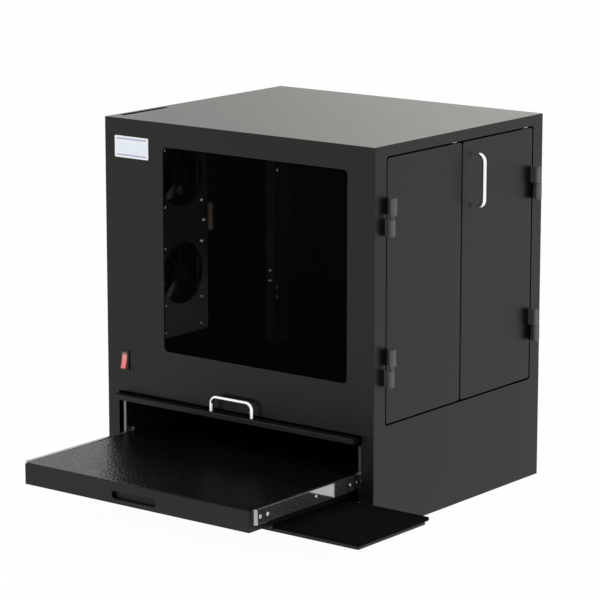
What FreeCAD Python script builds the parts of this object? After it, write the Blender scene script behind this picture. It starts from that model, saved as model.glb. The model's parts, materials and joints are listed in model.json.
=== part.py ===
import FreeCAD, Part
import os
import re
import Sketcher

# Free-standing dust-proof computer cabinet with its keyboard drawer pulled out, the pocket flap
# folded up and pushed in above it, the mouse tray drawn out to the right and both side doors shut.
# Frame: origin at the middle of the cabinet's footprint, +X to the right, +Y to the back, +Z up.

# Driving sizes: alias, value, meaning. Millimetres, or degrees where the meaning says so.
SIZES = [
    ("cabinet_width", "600", "outer width of the cabinet"),
    ("cabinet_depth", "510", "outer depth of the cabinet without drawer or doors' furniture"),
    ("cabinet_height", "670", "outer height of the cabinet"),
    ("sheet_thickness", "1.5", "steel sheet of panels, doors, flap and drawer"),
    ("edge_radius", "1.2", "rounding of the folded outer edges"),
    ("fold_radius", "1.4", "rounding of the folded edges of drawer and flap"),
    ("window_inset_left", "134.5", "left side of the cabinet to the window opening"),
    ("window_inset_right", "57.2", "right side of the cabinet to the window opening"),
    ("window_inset_top", "43", "top of the cabinet to the window opening"),
    ("window_sill", "81.8", "compartment's floor to the window opening"),
    ("window_corner", "9", "corner radius of the window opening"),
    ("window_border", "18", "pane, seal and retainer beyond the opening on each side"),
    ("pane_thickness", "4", "clear window pane"),
    ("pane_seal_thickness", "2", "rubber between front panel and pane"),
    ("retainer_thickness", "2", "steel ring that holds the pane"),
    ("retainer_lap", "5", "retainer's inner edge behind the edge of the window opening"),
    ("stud_radius", "2", "window studs and all small screws, shank"),
    ("stud_play", "0.2", "radial room round a stud or screw in its hole"),
    ("stud_inset", "9", "stud centre from the pane's edge"),
    ("stud_tail", "2", "stud beyond its nut"),
    ("head_radius", "4", "screw heads and nuts"),
    ("head_height", "2.4", "screw heads and nuts"),
    ("plate_inset_left", "24", "left side of the cabinet to the blank name plate"),
    ("plate_inset_top", "31.5", "top of the cabinet to the blank name plate"),
    ("plate_width", "78", "blank name plate across"),
    ("plate_height", "38.8", "blank name plate upright"),
    ("plate_thickness", "1", "blank name plate"),
    ("plate_corner", "2", "corner radius of the name plate"),
    ("switch_inset_left", "42.5", "left side of the cabinet to the middle of the switch"),
    ("switch_rise", "52.5", "compartment's floor to the middle of the switch"),
    ("rocker_width", "13", "switch rocker across"),
    ("rocker_height", "30", "switch rocker upright"),
    ("rocker_front", "6", "rocker's face ahead of its pivot"),
    ("rocker_back", "3", "rocker's back behind its pivot"),
    ("rocker_tilt", "11", "degrees that the rocker leans to either side"),
    ("rocker_play", "0.3", "room beside the rocker"),
    ("rocker_swing_room", "1.2", "room above and below the rocker"),
    ("trunnion_radius", "1.5", "rocker's pivot stubs"),
    ("trunnion_reach", "0.9", "pivot stubs beyond the rocker's sides"),
    ("pin_play", "0.05", "radial running clearance of pins and shafts"),
    ("bezel_wall", "1", "wall of the switch housing"),
    ("bezel_lip", "1.4", "switch flange beyond its housing"),
    ("bezel_proud", "2", "switch flange ahead of the front panel"),
    ("bezel_depth", "20", "switch housing behind the front panel"),
    ("opening_inset", "26", "sides of the cabinet to the drawer opening"),
    ("opening_bottom", "24", "drawer opening's lower edge above the floor"),
    ("opening_top", "171", "drawer opening's upper edge above the floor"),
    ("ceiling_gap", "3", "drawer opening's upper edge to the ceiling of the bay"),
    ("drawer_side_gap", "23.2", "drawer's sides to the drawer opening's sides"),
    ("drawer_length", "400", "drawer from front to back"),
    ("drawer_height", "38.5", "drawer with its mat"),
    ("drawer_level", "58.2", "drawer's underside above the floor"),
    ("drawer_out", "277.5", "drawer's front ahead of the cabinet as it stands open"),
    ("mat_thickness", "1.6", "textured mat on the drawer"),
    ("mat_inset", "1.2", "mat from the drawer's edges"),
    ("mat_corner", "4", "corner radius of the mat"),
    ("pull_width", "100", "finger pull in the drawer's front across"),
    ("pull_height", "14.5", "finger pull upright"),
    ("pull_drop", "23", "drawer's top to the middle of the finger pull"),
    ("pull_depth", "6.7", "finger pull cup behind the drawer's front wall"),
    ("cup_wall", "1.2", "wall of the finger pull cup"),
    ("slide_length", "400", "each member of the telescopic slides"),
    ("slide_rise", "25.4", "drawer's underside to the middle of the slides"),
    ("slide_thickness", "12.7", "room for a slide between drawer and bracket"),
    ("slide_front", "8.5", "drawer member's end behind the drawer's front"),
    ("slide_setback", "15", "cabinet member's end behind the cabinet's front"),
    ("inner_height", "26.4", "drawer member of the slide upright"),
    ("member_wall", "1.2", "sheet of the slide members"),
    ("member_play", "0.7", "room between two slide members"),
    ("drawer_lip", "6", "lips of the drawer member, from the drawer's side to its web"),
    ("slide_tab", "8.4", "front tab of the drawer member, from the drawer's side"),
    ("slide_head_radius", "3.4", "screw heads on the drawer members"),
    ("slide_head_height", "1.6", "screw heads on the drawer members"),
    ("bracket_drop", "33.6", "middle of the slides to the slide bracket's lower edge"),
    ("bracket_head_gap", "3.5", "slide bracket's upper edge below the flap's guides"),
    ("bracket_length", "410", "slide bracket from front to back"),
    ("bracket_setback", "6.5", "slide bracket's front behind the cabinet's front"),
    ("bracket_flange", "6.5", "bright front flange of the slide bracket"),
    ("tray_width", "200", "mouse tray from front to back"),
    ("tray_length", "240", "mouse tray from left to right"),
    ("tray_out", "174.5", "mouse tray beyond the drawer's right side as it stands out"),
    ("tray_clearance", "9", "mouse tray's back edge ahead of the cabinet's front"),
    ("tray_gap", "2.2", "mouse tray's top below the drawer's underside"),
    ("tray_board", "6", "mouse tray's top board"),
    ("tray_base", "7", "mouse tray's base below the board"),
    ("tray_base_inset", "4.6", "mouse tray's base from the board's edges"),
    ("tray_corner", "4", "corner radius of the mouse tray"),
    ("runner_play", "0.3", "room round the mouse tray's edge in its runners"),
    ("runner_wall", "1.2", "sheet of the mouse tray's runners"),
    ("runner_web", "10", "runner's flange on the drawer's underside"),
    ("runner_end_gap", "4", "runner's end from the drawer's right side"),
    ("flap_length", "150", "flap from its front edge to its back edge"),
    ("flap_thickness", "9", "flap with its folded rim"),
    ("flap_side_gap", "3", "flap's ends to the drawer opening's sides"),
    ("flap_bracket_gap", "1", "swinging part of the flap to the slide brackets"),
    ("flap_drop", "3.5", "drawer opening's upper edge to the flap's top"),
    ("flap_out", "19", "flap's front edge ahead of the cabinet"),
    ("pivot_inset", "7", "flap's back edge to its pivot rod"),
    ("pivot_rise", "3.5", "flap's underside to the pivot rod"),
    ("pivot_radius", "3", "flap's pivot rod"),
    ("roller_radius", "4.2", "rollers on the ends of the pivot rod"),
    ("roller_length", "8", "rollers on the ends of the pivot rod"),
    ("roller_play", "0.3", "room above and below a roller in its guide"),
    ("guide_face", "2", "guide's face from the drawer opening's side"),
    ("guide_depth", "13", "groove of the guide"),
    ("guide_lip", "4", "guide below its groove"),
    ("guide_tail", "16", "guide behind the pivot rod"),
    ("handle_spacing", "91", "bow handles, between the legs' middles"),
    ("handle_radius", "3.9", "bow handles, rod"),
    ("handle_reach", "27", "bow handles, foot to the bar's middle"),
    ("handle_bend", "12", "bow handles, bend of the rod's middle line"),
    ("handle_bore", "10", "screw hole in a handle's foot"),
    ("flap_handle_inset", "5.8", "flap's front edge to the handle's legs"),
    ("door_inset_front", "33", "front of the cabinet to the door opening"),
    ("door_inset_back", "30.5", "back of the cabinet to the door opening"),
    ("door_inset_top", "18.8", "top of the cabinet to the door opening"),
    ("door_sill", "9.2", "compartment's floor to the door opening"),
    ("door_gap", "3", "gap round and between the doors"),
    ("door_corner", "6", "corner radius of the door opening"),
    ("leaf_depth", "15", "door leaf with its folded rim"),
    ("frame_lap", "8", "door frame beyond the opening"),
    ("rebate_inset", "11", "door frame's inner edge inside the opening"),
    ("door_seal_thickness", "2.2", "rubber strip that the doors press on"),
    ("door_seal_play", "0.3", "room between the shut doors and the strip"),
    ("hinge_inset", "102.7", "door opening's lower and upper edge to the hinges' middles"),
    ("hinge_half_height", "29.2", "each half of a hinge"),
    ("front_hinge_split", "6.5", "gap between the two halves of a front door's hinge"),
    ("rear_hinge_split", "1", "gap between the two halves of a rear door's hinge"),
    ("hinge_axis_out", "11.4", "hinge pin's axis ahead of the side panel"),
    ("hinge_barrel", "5.4", "hinge barrel's radius"),
    ("hinge_reach", "8.6", "hinge block from the pin's axis"),
    ("hinge_stem", "3", "stem between a hinge block and the sheet it stands on"),
    ("pin_radius", "3", "hinge pin"),
    ("pin_reach", "18", "hinge pin inside each half"),
    ("collar_radius", "3.9", "collar of the hinge pin between the halves"),
    ("collar_play", "0.2", "collar below the door's half"),
    ("door_handle_inset", "27", "rear door's edge to the handle"),
    ("door_handle_drop", "69", "rear door's top to the handle's middle"),
    ("catch_length", "12", "door catches from front to back"),
    ("catch_height", "2.2", "door catches below the door opening's upper edge"),
    ("catch_depth", "10", "door catches from outside to inside"),
    ("catch_setback", "2.5", "door catches behind the cabinet's side"),
    ("catch_inset", "17", "door catches from the leaf's free or hinged edge"),
    ("slot_width", "12", "air slot in the top panel across"),
    ("slot_length", "124", "air slot in the top panel from front to back"),
    ("slot_inset_left", "9", "left side of the cabinet to the air slot"),
    ("slot_inset_front", "29", "front of the cabinet to the air slot"),
    ("slot_corner", "3", "corner radius of the air slot"),
    ("duct_depth", "36.5", "air duct between left panel and fan plate"),
    ("duct_rise", "71.5", "compartment's floor to the air duct"),
    ("duct_length", "237", "air duct from the front panel to its back wall"),
    ("fan_inset_front", "166", "front panel to the fans' middle"),
    ("fan_offset", "4", "fans' common middle below the middle of the air duct"),
    ("fan_pitch", "182", "between the two fans' middles"),
    ("fan_size", "120", "fan frame square"),
    ("fan_depth", "25", "fan frame"),
    ("fan_corner", "6", "corner radius of the fan frame"),
    ("fan_rim", "2", "fan frame's edge to its bore"),
    ("fan_screw_inset", "7.5", "fan frame's edge to its mounting holes"),
    ("fan_hub_radius", "20", "fan rotor's hub and motor seat"),
    ("fan_seat", "3", "motor seat and struts of the fan frame"),
    ("fan_strut", "5", "struts of the fan frame across"),
    ("fan_axial_play", "0.4", "rotor's hub to the motor seat"),
    ("fan_hub_setback", "3", "rotor's hub behind the frame's face"),
    ("fan_tip_play", "1.5", "blade tips to the bore"),
    ("fan_blades", "9", "blades of a rotor"),
    ("blade_chord", "15", "blade along the fan's axis"),
    ("blade_lean", "19", "blade across the fan's axis"),
    ("blade_thickness", "2.4", "blade, measured along the fan's axis"),
    ("shaft_radius", "2", "fan shaft"),
    ("filter_thickness", "12", "filter mat in the air duct"),
    ("filter_drop", "10", "top panel to the filter mat"),
    ("fuse_gap", "39.3", "air duct's back wall to the fuse holder"),
    ("fuse_rise", "274.8", "compartment's floor to the middle of the fuse"),
    ("fuse_height", "50", "fuse with its end caps"),
    ("fuse_cap_height", "9.5", "each end cap of the fuse"),
    ("fuse_cap_width", "10.5", "end caps of the fuse, square"),
    ("fuse_radius", "5", "ceramic body of the fuse"),
    ("fuse_holder_depth", "6", "base that the fuse is clipped to"),
    ("fuse_holder_margin", "4", "base beyond the fuse"),
    ("raceway_width", "20", "upright cable raceway across"),
    ("raceway_depth", "48", "upright cable raceway from front to back"),
    ("raceway_gap_top", "13", "cable raceway below the top panel"),
    ("raceway_screw_inset", "8", "raceway's front edge to the screws on its side"),
    ("raceway_screw_rise", "89.5", "compartment's floor to the lowest screw on the raceway"),
    ("raceway_screw_pitch", "19.7", "between the two screws of a pair on the raceway"),
    ("raceway_screw_step", "32.4", "pair on the raceway's side to the pair on its front"),
    ("raceway_screw_drop", "142.4", "raceway's top to its uppermost screw"),
    ("wall_screw_gap", "42.2", "air duct's back wall to the screw on the left panel"),
    ("wall_screw_rise", "170.7", "compartment's floor to the screw on the left panel"),
    ("cable_hole_radius", "26", "clear bore of the cable grommet"),
    ("cable_hole_inset", "110", "right side of the cabinet to the cable grommet"),
    ("cable_hole_rise", "69.5", "compartment's floor to the cable grommet's middle"),
    ("grommet_wall", "3", "sleeve of the cable grommet"),
    ("grommet_flange", "6", "flange of the cable grommet beyond its sleeve"),
    ("grommet_flange_thickness", "2.2", "flanges of the cable grommet"),
    ("back_screw_inset", "12", "screws of the back panel from its edges"),
]
ALIASES = {alias for alias, _, _ in SIZES}

doc = FreeCAD.newDocument("computer_cabinet")
sheet = doc.addObject("Spreadsheet::Sheet", "Sizes")
for row, (alias, number, meaning) in enumerate(SIZES, start=1):
    sheet.set(f"A{row}", meaning)
    sheet.set(f"B{row}", number)
    sheet.setAlias(f"B{row}", alias)
doc.recompute()

NODES = {}


def formula(text):
    """Turns a text of size words into an expression on the sheet's cells."""
    return re.sub(r"[a-z_]+", lambda word: f"Sizes.{word[0]}" if word[0] in ALIASES else word[0], str(text))


def number(text):
    """Present value of an expression of the sizes."""
    return float(sheet.evalExpression(formula(text)))


def bind(thing, prop, text):
    thing.setExpression(prop, formula(text))


def node(name, thing):
    """Registers a finished piece under the name of its file."""
    thing.Label = name
    NODES[name] = thing
    return thing


def span(middle, size):
    return f"({middle})-({size})/2", f"({middle})+({size})/2"


def inset(pair, margin):
    return f"({pair[0]})+({margin})", f"({pair[1]})-({margin})"


def from_low(low, size):
    return low, f"({low})+({size})"


def sided(side, low, high):
    """Range on the right (side 1), or its mirror image on the left (side -1)."""
    return (low, high) if side > 0 else (f"-({high})", f"-({low})")


# Plain solids.

def block(name, x, y, z):
    """Box between two faces along each axis."""
    box = doc.addObject("Part::Box", name)
    for edge, axis, (low, high) in zip(("Length", "Width", "Height"), "xyz", (x, y, z)):
        bind(box, edge, f"({high})-({low})")
        bind(box, f"Placement.Base.{axis}", low)
    return box


TURN = {
    "X": FreeCAD.Rotation(FreeCAD.Vector(0, 1, 0), 90),
    "Y": FreeCAD.Rotation(FreeCAD.Vector(1, 0, 0), -90),
    "Z": FreeCAD.Rotation(),
}


def rod(name, axis, radius, along, at):
    """Cylinder along an axis; at gives its middle on the other two axes, in order."""
    cylinder = doc.addObject("Part::Cylinder", name)
    cylinder.Placement = FreeCAD.Placement(FreeCAD.Vector(), TURN[axis])
    bind(cylinder, "Radius", radius)
    bind(cylinder, "Height", f"({along[1]})-({along[0]})")
    others = [letter for letter in "xyz" if letter != axis.lower()]
    bind(cylinder, f"Placement.Base.{axis.lower()}", along[0])
    for letter, place in zip(others, at):
        bind(cylinder, f"Placement.Base.{letter}", place)
    return cylinder


def fused(name, *solids):
    fuse = doc.addObject("Part::MultiFuse", name)
    fuse.Shapes = list(solids)
    return fuse


def less(name, base, *tools):
    """Base with the tools cut away."""
    cut = doc.addObject("Part::Cut", name)
    cut.Base = base
    cut.Tool = tools[0] if len(tools) == 1 else fused(f"{name}_tools", *tools)
    return cut


def group(name, solids):
    """Separate like solids in one node."""
    compound = doc.addObject("Part::Compound", name)
    compound.Links = list(solids)
    return node(name, compound)


# Sheet pieces: bodies with sketches on their own origin planes.

PLANE = {"X": "YZ_Plane", "Y": "XZ_Plane", "Z": "XY_Plane"}
# The sketch of an XZ plane looks along -Y, so its level counts backwards.
LEVEL_SIGN = {"X": "", "Y": "-", "Z": ""}


def origin_plane(body, role):
    return next(plane for plane in body.Origin.OriginFeatures if plane.Role == role)


def sketch_at(body, name, normal, level, corner_u="0", corner_v="0"):
    """Sketch on an origin plane, moved to a level along the normal and to a corner point."""
    sketch = body.newObject("Sketcher::SketchObject", name)
    sketch.AttachmentSupport = (origin_plane(body, PLANE[normal]), "")
    sketch.MapMode = "FlatFace"
    bind(sketch, "AttachmentOffset.Base.x", corner_u)
    bind(sketch, "AttachmentOffset.Base.y", corner_v)
    bind(sketch, "AttachmentOffset.Base.z", f"{LEVEL_SIGN[normal]}({level})")
    return sketch


def line(sketch, start, end):
    return sketch.addGeometry(Part.LineSegment(FreeCAD.Vector(*start, 0), FreeCAD.Vector(*end, 0)), False)


def dimension(sketch, text, kind, *places):
    """Driving dimension tied to an expression of the sizes."""
    index = sketch.addConstraint(Sketcher.Constraint(kind, *places, number(text)))
    bind(sketch, f"Constraints[{index}]", text)


def rectangle(sketch, width, height):
    """Rectangle from the sketch's origin."""
    wide, high = number(width), number(height)
    corners = [(0, 0), (wide, 0), (wide, high), (0, high)]
    for index in range(4):
        line(sketch, corners[index], corners[(index + 1) % 4])
    for index in range(4):
        sketch.addConstraint(Sketcher.Constraint("Coincident", index, 2, (index + 1) % 4, 1))
        sketch.addConstraint(Sketcher.Constraint("Vertical" if index % 2 else "Horizontal", index))
    sketch.addConstraint(Sketcher.Constraint("Coincident", 0, 1, -1, 1))
    dimension(sketch, width, "DistanceX", 0, 1, 0, 2)
    dimension(sketch, height, "DistanceY", 1, 1, 1, 2)


def rounded_rectangle(sketch, width, height, corner):
    """Rectangle from the sketch's origin with four round corners."""
    wide, high, bend = number(width), number(height), number(corner)
    line(sketch, (bend, 0), (wide - bend, 0))
    line(sketch, (wide, bend), (wide, high - bend))
    line(sketch, (wide - bend, high), (bend, high))
    line(sketch, (0, high - bend), (0, bend))
    middles = [(wide - bend, bend), (wide - bend, high - bend), (bend, high - bend), (bend, bend)]
    quarter = FreeCAD.Units.Quantity("90 deg").getValueAs("rad").Value
    for index, middle in enumerate(middles):
        circle = Part.Circle(FreeCAD.Vector(*middle, 0), FreeCAD.Vector(0, 0, 1), bend)
        sketch.addGeometry(Part.ArcOfCircle(circle, (index - 1) * quarter, index * quarter), False)
    for index in range(4):
        arc = 4 + index
        sketch.addConstraint(Sketcher.Constraint("Tangent", index, 2, arc, 1))
        sketch.addConstraint(Sketcher.Constraint("Tangent", arc, 2, (index + 1) % 4, 1))
        sketch.addConstraint(Sketcher.Constraint("Vertical" if index % 2 else "Horizontal", index))
    for arc in (5, 6, 7):
        sketch.addConstraint(Sketcher.Constraint("Equal", 4, arc))
    sketch.addConstraint(Sketcher.Constraint("PointOnObject", 0, 1, -1))
    sketch.addConstraint(Sketcher.Constraint("PointOnObject", 3, 1, -2))
    dimension(sketch, corner, "Radius", 4)
    dimension(sketch, width, "DistanceX", 3, 1, 1, 1)
    dimension(sketch, height, "DistanceY", 0, 1, 2, 1)


def circle_at_origin(sketch, radius):
    """Circle round the sketch's origin."""
    sketch.addGeometry(Part.Circle(FreeCAD.Vector(), FreeCAD.Vector(0, 0, 1), number(radius)), False)
    sketch.addConstraint(Sketcher.Constraint("Coincident", 0, 3, -1, 1))
    dimension(sketch, radius, "Radius", 0)


def plan(normal, x, y, z):
    """The two ranges in a sketch's plane and the range along its normal."""
    return {"X": (y, z, x), "Y": (x, z, y), "Z": (x, y, z)}[normal]


def draw_rectangle(body, name, normal, level, u, v, corner):
    sketch = sketch_at(body, name, normal, level, u[0], v[0])
    width, height = f"({u[1]})-({u[0]})", f"({v[1]})-({v[0]})"
    if corner:
        rounded_rectangle(sketch, width, height, corner)
    else:
        rectangle(sketch, width, height)
    return sketch


def slab(name, normal, x, y, z, corner=None):
    """Plate padded between two faces, with round corners across its normal."""
    body = doc.addObject("PartDesign::Body", name)
    u, v, along = plan(normal, x, y, z)
    start = along[1] if normal == "Y" else along[0]
    sketch = draw_rectangle(body, f"{name}_outline", normal, start, u, v, corner)
    pad = body.newObject("PartDesign::Pad", f"{name}_pad")
    pad.Profile = sketch
    bind(pad, "Length", f"({along[1]})-({along[0]})")
    body.Tip = pad
    return body


def pocket(body, name, sketch, depth=None, reverse=False):
    """Cut along a sketch's normal, through everything both ways unless a depth is given."""
    cut = body.newObject("PartDesign::Pocket", name)
    cut.Profile = sketch
    if depth:
        bind(cut, "Length", depth)
        cut.Reversed = reverse
    else:
        cut.Type = "ThroughAll"
        cut.SideType = "Symmetric"
    body.Tip = cut
    return cut


def window(body, name, normal, x, y, z, corner=None):
    """Rectangular opening right through a slab."""
    u, v, along = plan(normal, x, y, z)
    return pocket(body, name, draw_rectangle(body, f"{name}_outline", normal, along[0], u, v, corner))


def hollow(body, name, normal, open_face, u, v, depth, corner=None, upwards=True):
    """Blind recess from an open face, running up or down its axis."""
    sketch = draw_rectangle(body, f"{name}_outline", normal, open_face, u, v, corner)
    along_normal = upwards if normal != "Y" else not upwards
    return pocket(body, name, sketch, depth, along_normal)


def drill(body, name, normal, level, radius, places, depth=None, upwards=True):
    """Round holes at places in the sketch's plane."""
    for index, (u, v) in enumerate(places):
        sketch = sketch_at(body, f"{name}_{index}_circle", normal, level, u, v)
        circle_at_origin(sketch, radius)
        along_normal = upwards if normal != "Y" else not upwards
        pocket(body, f"{name}_{index}", sketch, depth, along_normal)


def round_pad(body, name, radius, along):
    """Round stub along the body's X axis."""
    sketch = sketch_at(body, f"{name}_circle", "X", along[0])
    circle_at_origin(sketch, radius)
    pad = body.newObject("PartDesign::Pad", name)
    pad.Profile = sketch
    bind(pad, "Length", f"({along[1]})-({along[0]})")
    body.Tip = pad


def round_edges(body, name, radius, chosen):
    """Fillet on the edges whose middle point is chosen."""
    doc.recompute()
    tip = body.Tip
    edges = [
        f"Edge{index}"
        for index, edge in enumerate(tip.Shape.Edges, start=1)
        if chosen(edge.valueAt((edge.FirstParameter + edge.LastParameter) / 2))
    ]
    fillet = body.newObject("PartDesign::Fillet", name)
    fillet.Base = (tip, edges)
    bind(fillet, "Radius", radius)
    body.Tip = fillet


def near(value, text):
    return abs(value - number(text)) < 1e-4


# Places that several pieces share.

WALL = "sheet_thickness"
LEFT, RIGHT = "(-cabinet_width/2)", "(cabinet_width/2)"
FRONT, BACK = "(-cabinet_depth/2)", "(cabinet_depth/2)"
INNER_LEFT, INNER_RIGHT = f"({LEFT}+{WALL})", f"({RIGHT}-{WALL})"
INNER_FRONT, INNER_BACK = f"({FRONT}+{WALL})", f"({BACK}-{WALL})"
INNER_TOP = f"(cabinet_height-{WALL})"
CABINET_X, CABINET_Y = (LEFT, RIGHT), (INNER_FRONT, INNER_BACK)
BAY_CEILING = "(opening_top+ceiling_gap)"
COMPARTMENT_FLOOR = f"({BAY_CEILING}+{WALL})"

OPENING_SIDE = "(cabinet_width/2-opening_inset)"

WINDOW_X = (f"{LEFT}+window_inset_left", f"{RIGHT}-window_inset_right")
WINDOW_Z = (f"{COMPARTMENT_FLOOR}+window_sill", "cabinet_height-window_inset_top")
PANE_X, PANE_Z = inset(WINDOW_X, "-window_border"), inset(WINDOW_Z, "-window_border")
SEAL_Y = from_low(INNER_FRONT, "pane_seal_thickness")
PANE_Y = from_low(SEAL_Y[1], "pane_thickness")
RETAINER_Y = from_low(PANE_Y[1], "retainer_thickness")

SWITCH_X, SWITCH_Z = f"({LEFT}+switch_inset_left)", f"({COMPARTMENT_FLOOR}+switch_rise)"
SWITCH_WELL_X = span(SWITCH_X, "rocker_width+2*rocker_play")
SWITCH_WELL_Z = span(SWITCH_Z, "rocker_height+2*rocker_swing_room")
SWITCH_HOUSING_X, SWITCH_HOUSING_Z = inset(SWITCH_WELL_X, "-bezel_wall"), inset(SWITCH_WELL_Z, "-bezel_wall")

DRAWER_SIDE = f"({OPENING_SIDE}-drawer_side_gap)"
DRAWER_FRONT = f"({FRONT}-drawer_out)"
DRAWER_BACK = f"({DRAWER_FRONT}+drawer_length)"
DRAWER_TOP = "(drawer_level+drawer_height)"
TRAY_TOP = f"({DRAWER_TOP}-mat_thickness)"
SLIDE_Z = "(drawer_level+slide_rise)"
BRACKET_FACE = f"({DRAWER_SIDE}+slide_thickness)"

MOUSE_TOP = "(drawer_level-tray_gap)"
MOUSE_X = (f"{DRAWER_SIDE}+tray_out-tray_length", f"{DRAWER_SIDE}+tray_out")
MOUSE_Y = (f"{FRONT}-tray_clearance-tray_width", f"{FRONT}-tray_clearance")

FLAP_SIDE = f"({OPENING_SIDE}-flap_side_gap)"
FLAP_TOP = "(opening_top-flap_drop)"
FLAP_Y = from_low(f"{FRONT}-flap_out", "flap_length")
PIVOT_Y, PIVOT_Z = f"({FLAP_Y[1]}-pivot_inset)", f"({FLAP_TOP}-flap_thickness+pivot_rise)"
GUIDE_FACE = f"({OPENING_SIDE}+guide_face)"
GROOVE_HALF = "(roller_radius+roller_play)"
GUIDE_Z = (f"{PIVOT_Z}-{GROOVE_HALF}-guide_lip", BAY_CEILING)

DOOR_Y = (f"{FRONT}+door_inset_front", f"{BACK}-door_inset_back")
DOOR_Z = (f"{COMPARTMENT_FLOOR}+door_sill", "cabinet_height-door_inset_top")
DOOR_MIDDLE = f"(({DOOR_Y[0]}+{DOOR_Y[1]})/2)"
LEAF_X = (f"{RIGHT}-leaf_depth", RIGHT)
LEAF_Z = inset(DOOR_Z, "door_gap")
FRONT_LEAF_Y = (f"{DOOR_Y[0]}+door_gap", f"{DOOR_MIDDLE}-door_gap/2")
REAR_LEAF_Y = (f"{DOOR_MIDDLE}+door_gap/2", f"{DOOR_Y[1]}-door_gap")
HINGE_AXIS_X = f"({RIGHT}+hinge_axis_out)"
FRONT_HINGE_Y, REAR_HINGE_Y = f"({DOOR_Y[0]}+door_gap/2)", f"({DOOR_Y[1]}-door_gap/2)"

DUCT_FACE = f"({INNER_LEFT}+duct_depth)"
DUCT_BACK = f"({INNER_FRONT}+duct_length)"
DUCT_BOTTOM = f"({COMPARTMENT_FLOOR}+duct_rise)"
FAN_Y = f"({INNER_FRONT}+fan_inset_front)"
FAN_MIDDLE = f"(({DUCT_BOTTOM}+{INNER_TOP})/2-fan_offset)"
FAN_LEVELS = {"lower": f"({FAN_MIDDLE}-fan_pitch/2)", "upper": f"({FAN_MIDDLE}+fan_pitch/2)"}
RACEWAY_X = from_low(INNER_LEFT, "raceway_width")
RACEWAY_Y = (f"({INNER_BACK}-raceway_depth)", INNER_BACK)
RACEWAY_Z = (COMPARTMENT_FLOOR, f"({INNER_TOP}-raceway_gap_top)")
FAN_BORE, FAN_SCREW_PITCH = "(fan_size-2*fan_rim)", "(fan_size-2*fan_screw_inset)"


def front_panel():
    """Front sheet with the openings for window, drawer and switch."""
    body = slab("front_panel", "Y", CABINET_X, (FRONT, INNER_FRONT), ("0", "cabinet_height"))
    flat = (FRONT, INNER_FRONT)
    window(body, "window_opening", "Y", WINDOW_X, flat, WINDOW_Z, "window_corner")
    opening_x, opening_z = span("0", f"2*{OPENING_SIDE}"), ("opening_bottom", "opening_top")
    window(body, "drawer_opening", "Y", opening_x, flat, opening_z)
    switch_x = inset(SWITCH_HOUSING_X, "-rocker_play")
    switch_z = inset(SWITCH_HOUSING_Z, "-rocker_play")
    window(body, "switch_opening", "Y", switch_x, flat, switch_z)

    def outer(point):
        rim = near(abs(point.x), RIGHT) or near(point.z, "0") or near(point.z, "cabinet_height")
        return rim and near(point.y, FRONT)

    round_edges(body, "front_panel_edges", "edge_radius", outer)
    node("front_panel", body)


def top_panel():
    """Top sheet with the air slot beside the left wall."""
    body = slab("top_panel", "Z", CABINET_X, CABINET_Y, (INNER_TOP, "cabinet_height"))
    slot_x = from_low(f"{LEFT}+slot_inset_left", "slot_width")
    slot_y = from_low(f"{FRONT}+slot_inset_front", "slot_length")
    window(body, "air_slot", "Z", slot_x, slot_y, (INNER_TOP, "cabinet_height"), "slot_corner")
    round_edges(
        body, "top_panel_edges", "edge_radius",
        lambda point: near(abs(point.x), RIGHT) and near(point.z, "cabinet_height"),
    )
    node("top_panel", body)


def side_and_base_panels():
    """Left wall, base and the ceiling of the drawer bay, which is the compartment's floor."""
    upright = (WALL, INNER_TOP)
    node("left_panel", slab("left_panel", "X", (LEFT, INNER_LEFT), CABINET_Y, upright))
    node("base_panel", slab("base_panel", "Z", CABINET_X, CABINET_Y, ("0", WALL)))
    shelf = slab(
        "compartment_floor", "Z", (INNER_LEFT, INNER_RIGHT), CABINET_Y, (BAY_CEILING, COMPARTMENT_FLOOR)
    )
    node("compartment_floor", shelf)
    body = slab("right_panel", "X", (INNER_RIGHT, RIGHT), CABINET_Y, upright)
    window(body, "door_opening", "X", (INNER_RIGHT, RIGHT), DOOR_Y, DOOR_Z, "door_corner")
    node("right_panel", body)


CABLE_HOLE = (f"({RIGHT}-cable_hole_inset)", f"({COMPARTMENT_FLOOR}+cable_hole_rise)")


def back_panel():
    """Back sheet with the cable grommet."""
    body = slab("back_panel", "Y", CABINET_X, (INNER_BACK, BACK), ("0", "cabinet_height"))
    drill(body, "cable_hole", "Y", BACK, "cable_hole_radius+grommet_wall", [CABLE_HOLE])

    def outer(point):
        rim = near(abs(point.x), RIGHT) or near(point.z, "0") or near(point.z, "cabinet_height")
        return rim and near(point.y, BACK)

    round_edges(body, "back_panel_edges", "edge_radius", outer)
    node("back_panel", body)
    sleeve_radius = "cable_hole_radius+grommet_wall-stud_play"
    inner_flange = (f"{INNER_BACK}-grommet_flange_thickness", INNER_BACK)
    outer_flange = from_low(BACK, "grommet_flange_thickness")
    flange_radius = f"{sleeve_radius}+grommet_flange"
    ring = fused(
        "grommet_solid",
        rod("grommet_sleeve", "Y", sleeve_radius, (inner_flange[0], outer_flange[1]), CABLE_HOLE),
        rod("grommet_inner_flange", "Y", flange_radius, inner_flange, CABLE_HOLE),
        rod("grommet_outer_flange", "Y", flange_radius, outer_flange, CABLE_HOLE),
    )
    bore = rod("grommet_bore", "Y", "cable_hole_radius", (inner_flange[0], outer_flange[1]), CABLE_HOLE)
    node("cable_grommet", less("grommet", ring, bore))


def stud_places():
    """Places of the window studs: four along the top and bottom, two more up each side."""
    x, z = inset(PANE_X, "stud_inset"), inset(PANE_Z, "stud_inset")
    third_x = [f"({x[0]})+(({x[1]})-({x[0]}))*{step}/3" for step in range(4)]
    third_z = [f"({z[0]})+(({z[1]})-({z[0]}))*{step}/3" for step in range(4)]
    rows = [(place, level) for level in (z[0], z[1]) for place in third_x]
    return rows + [(place, level) for place in (x[0], x[1]) for level in third_z[1:3]]


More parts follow.
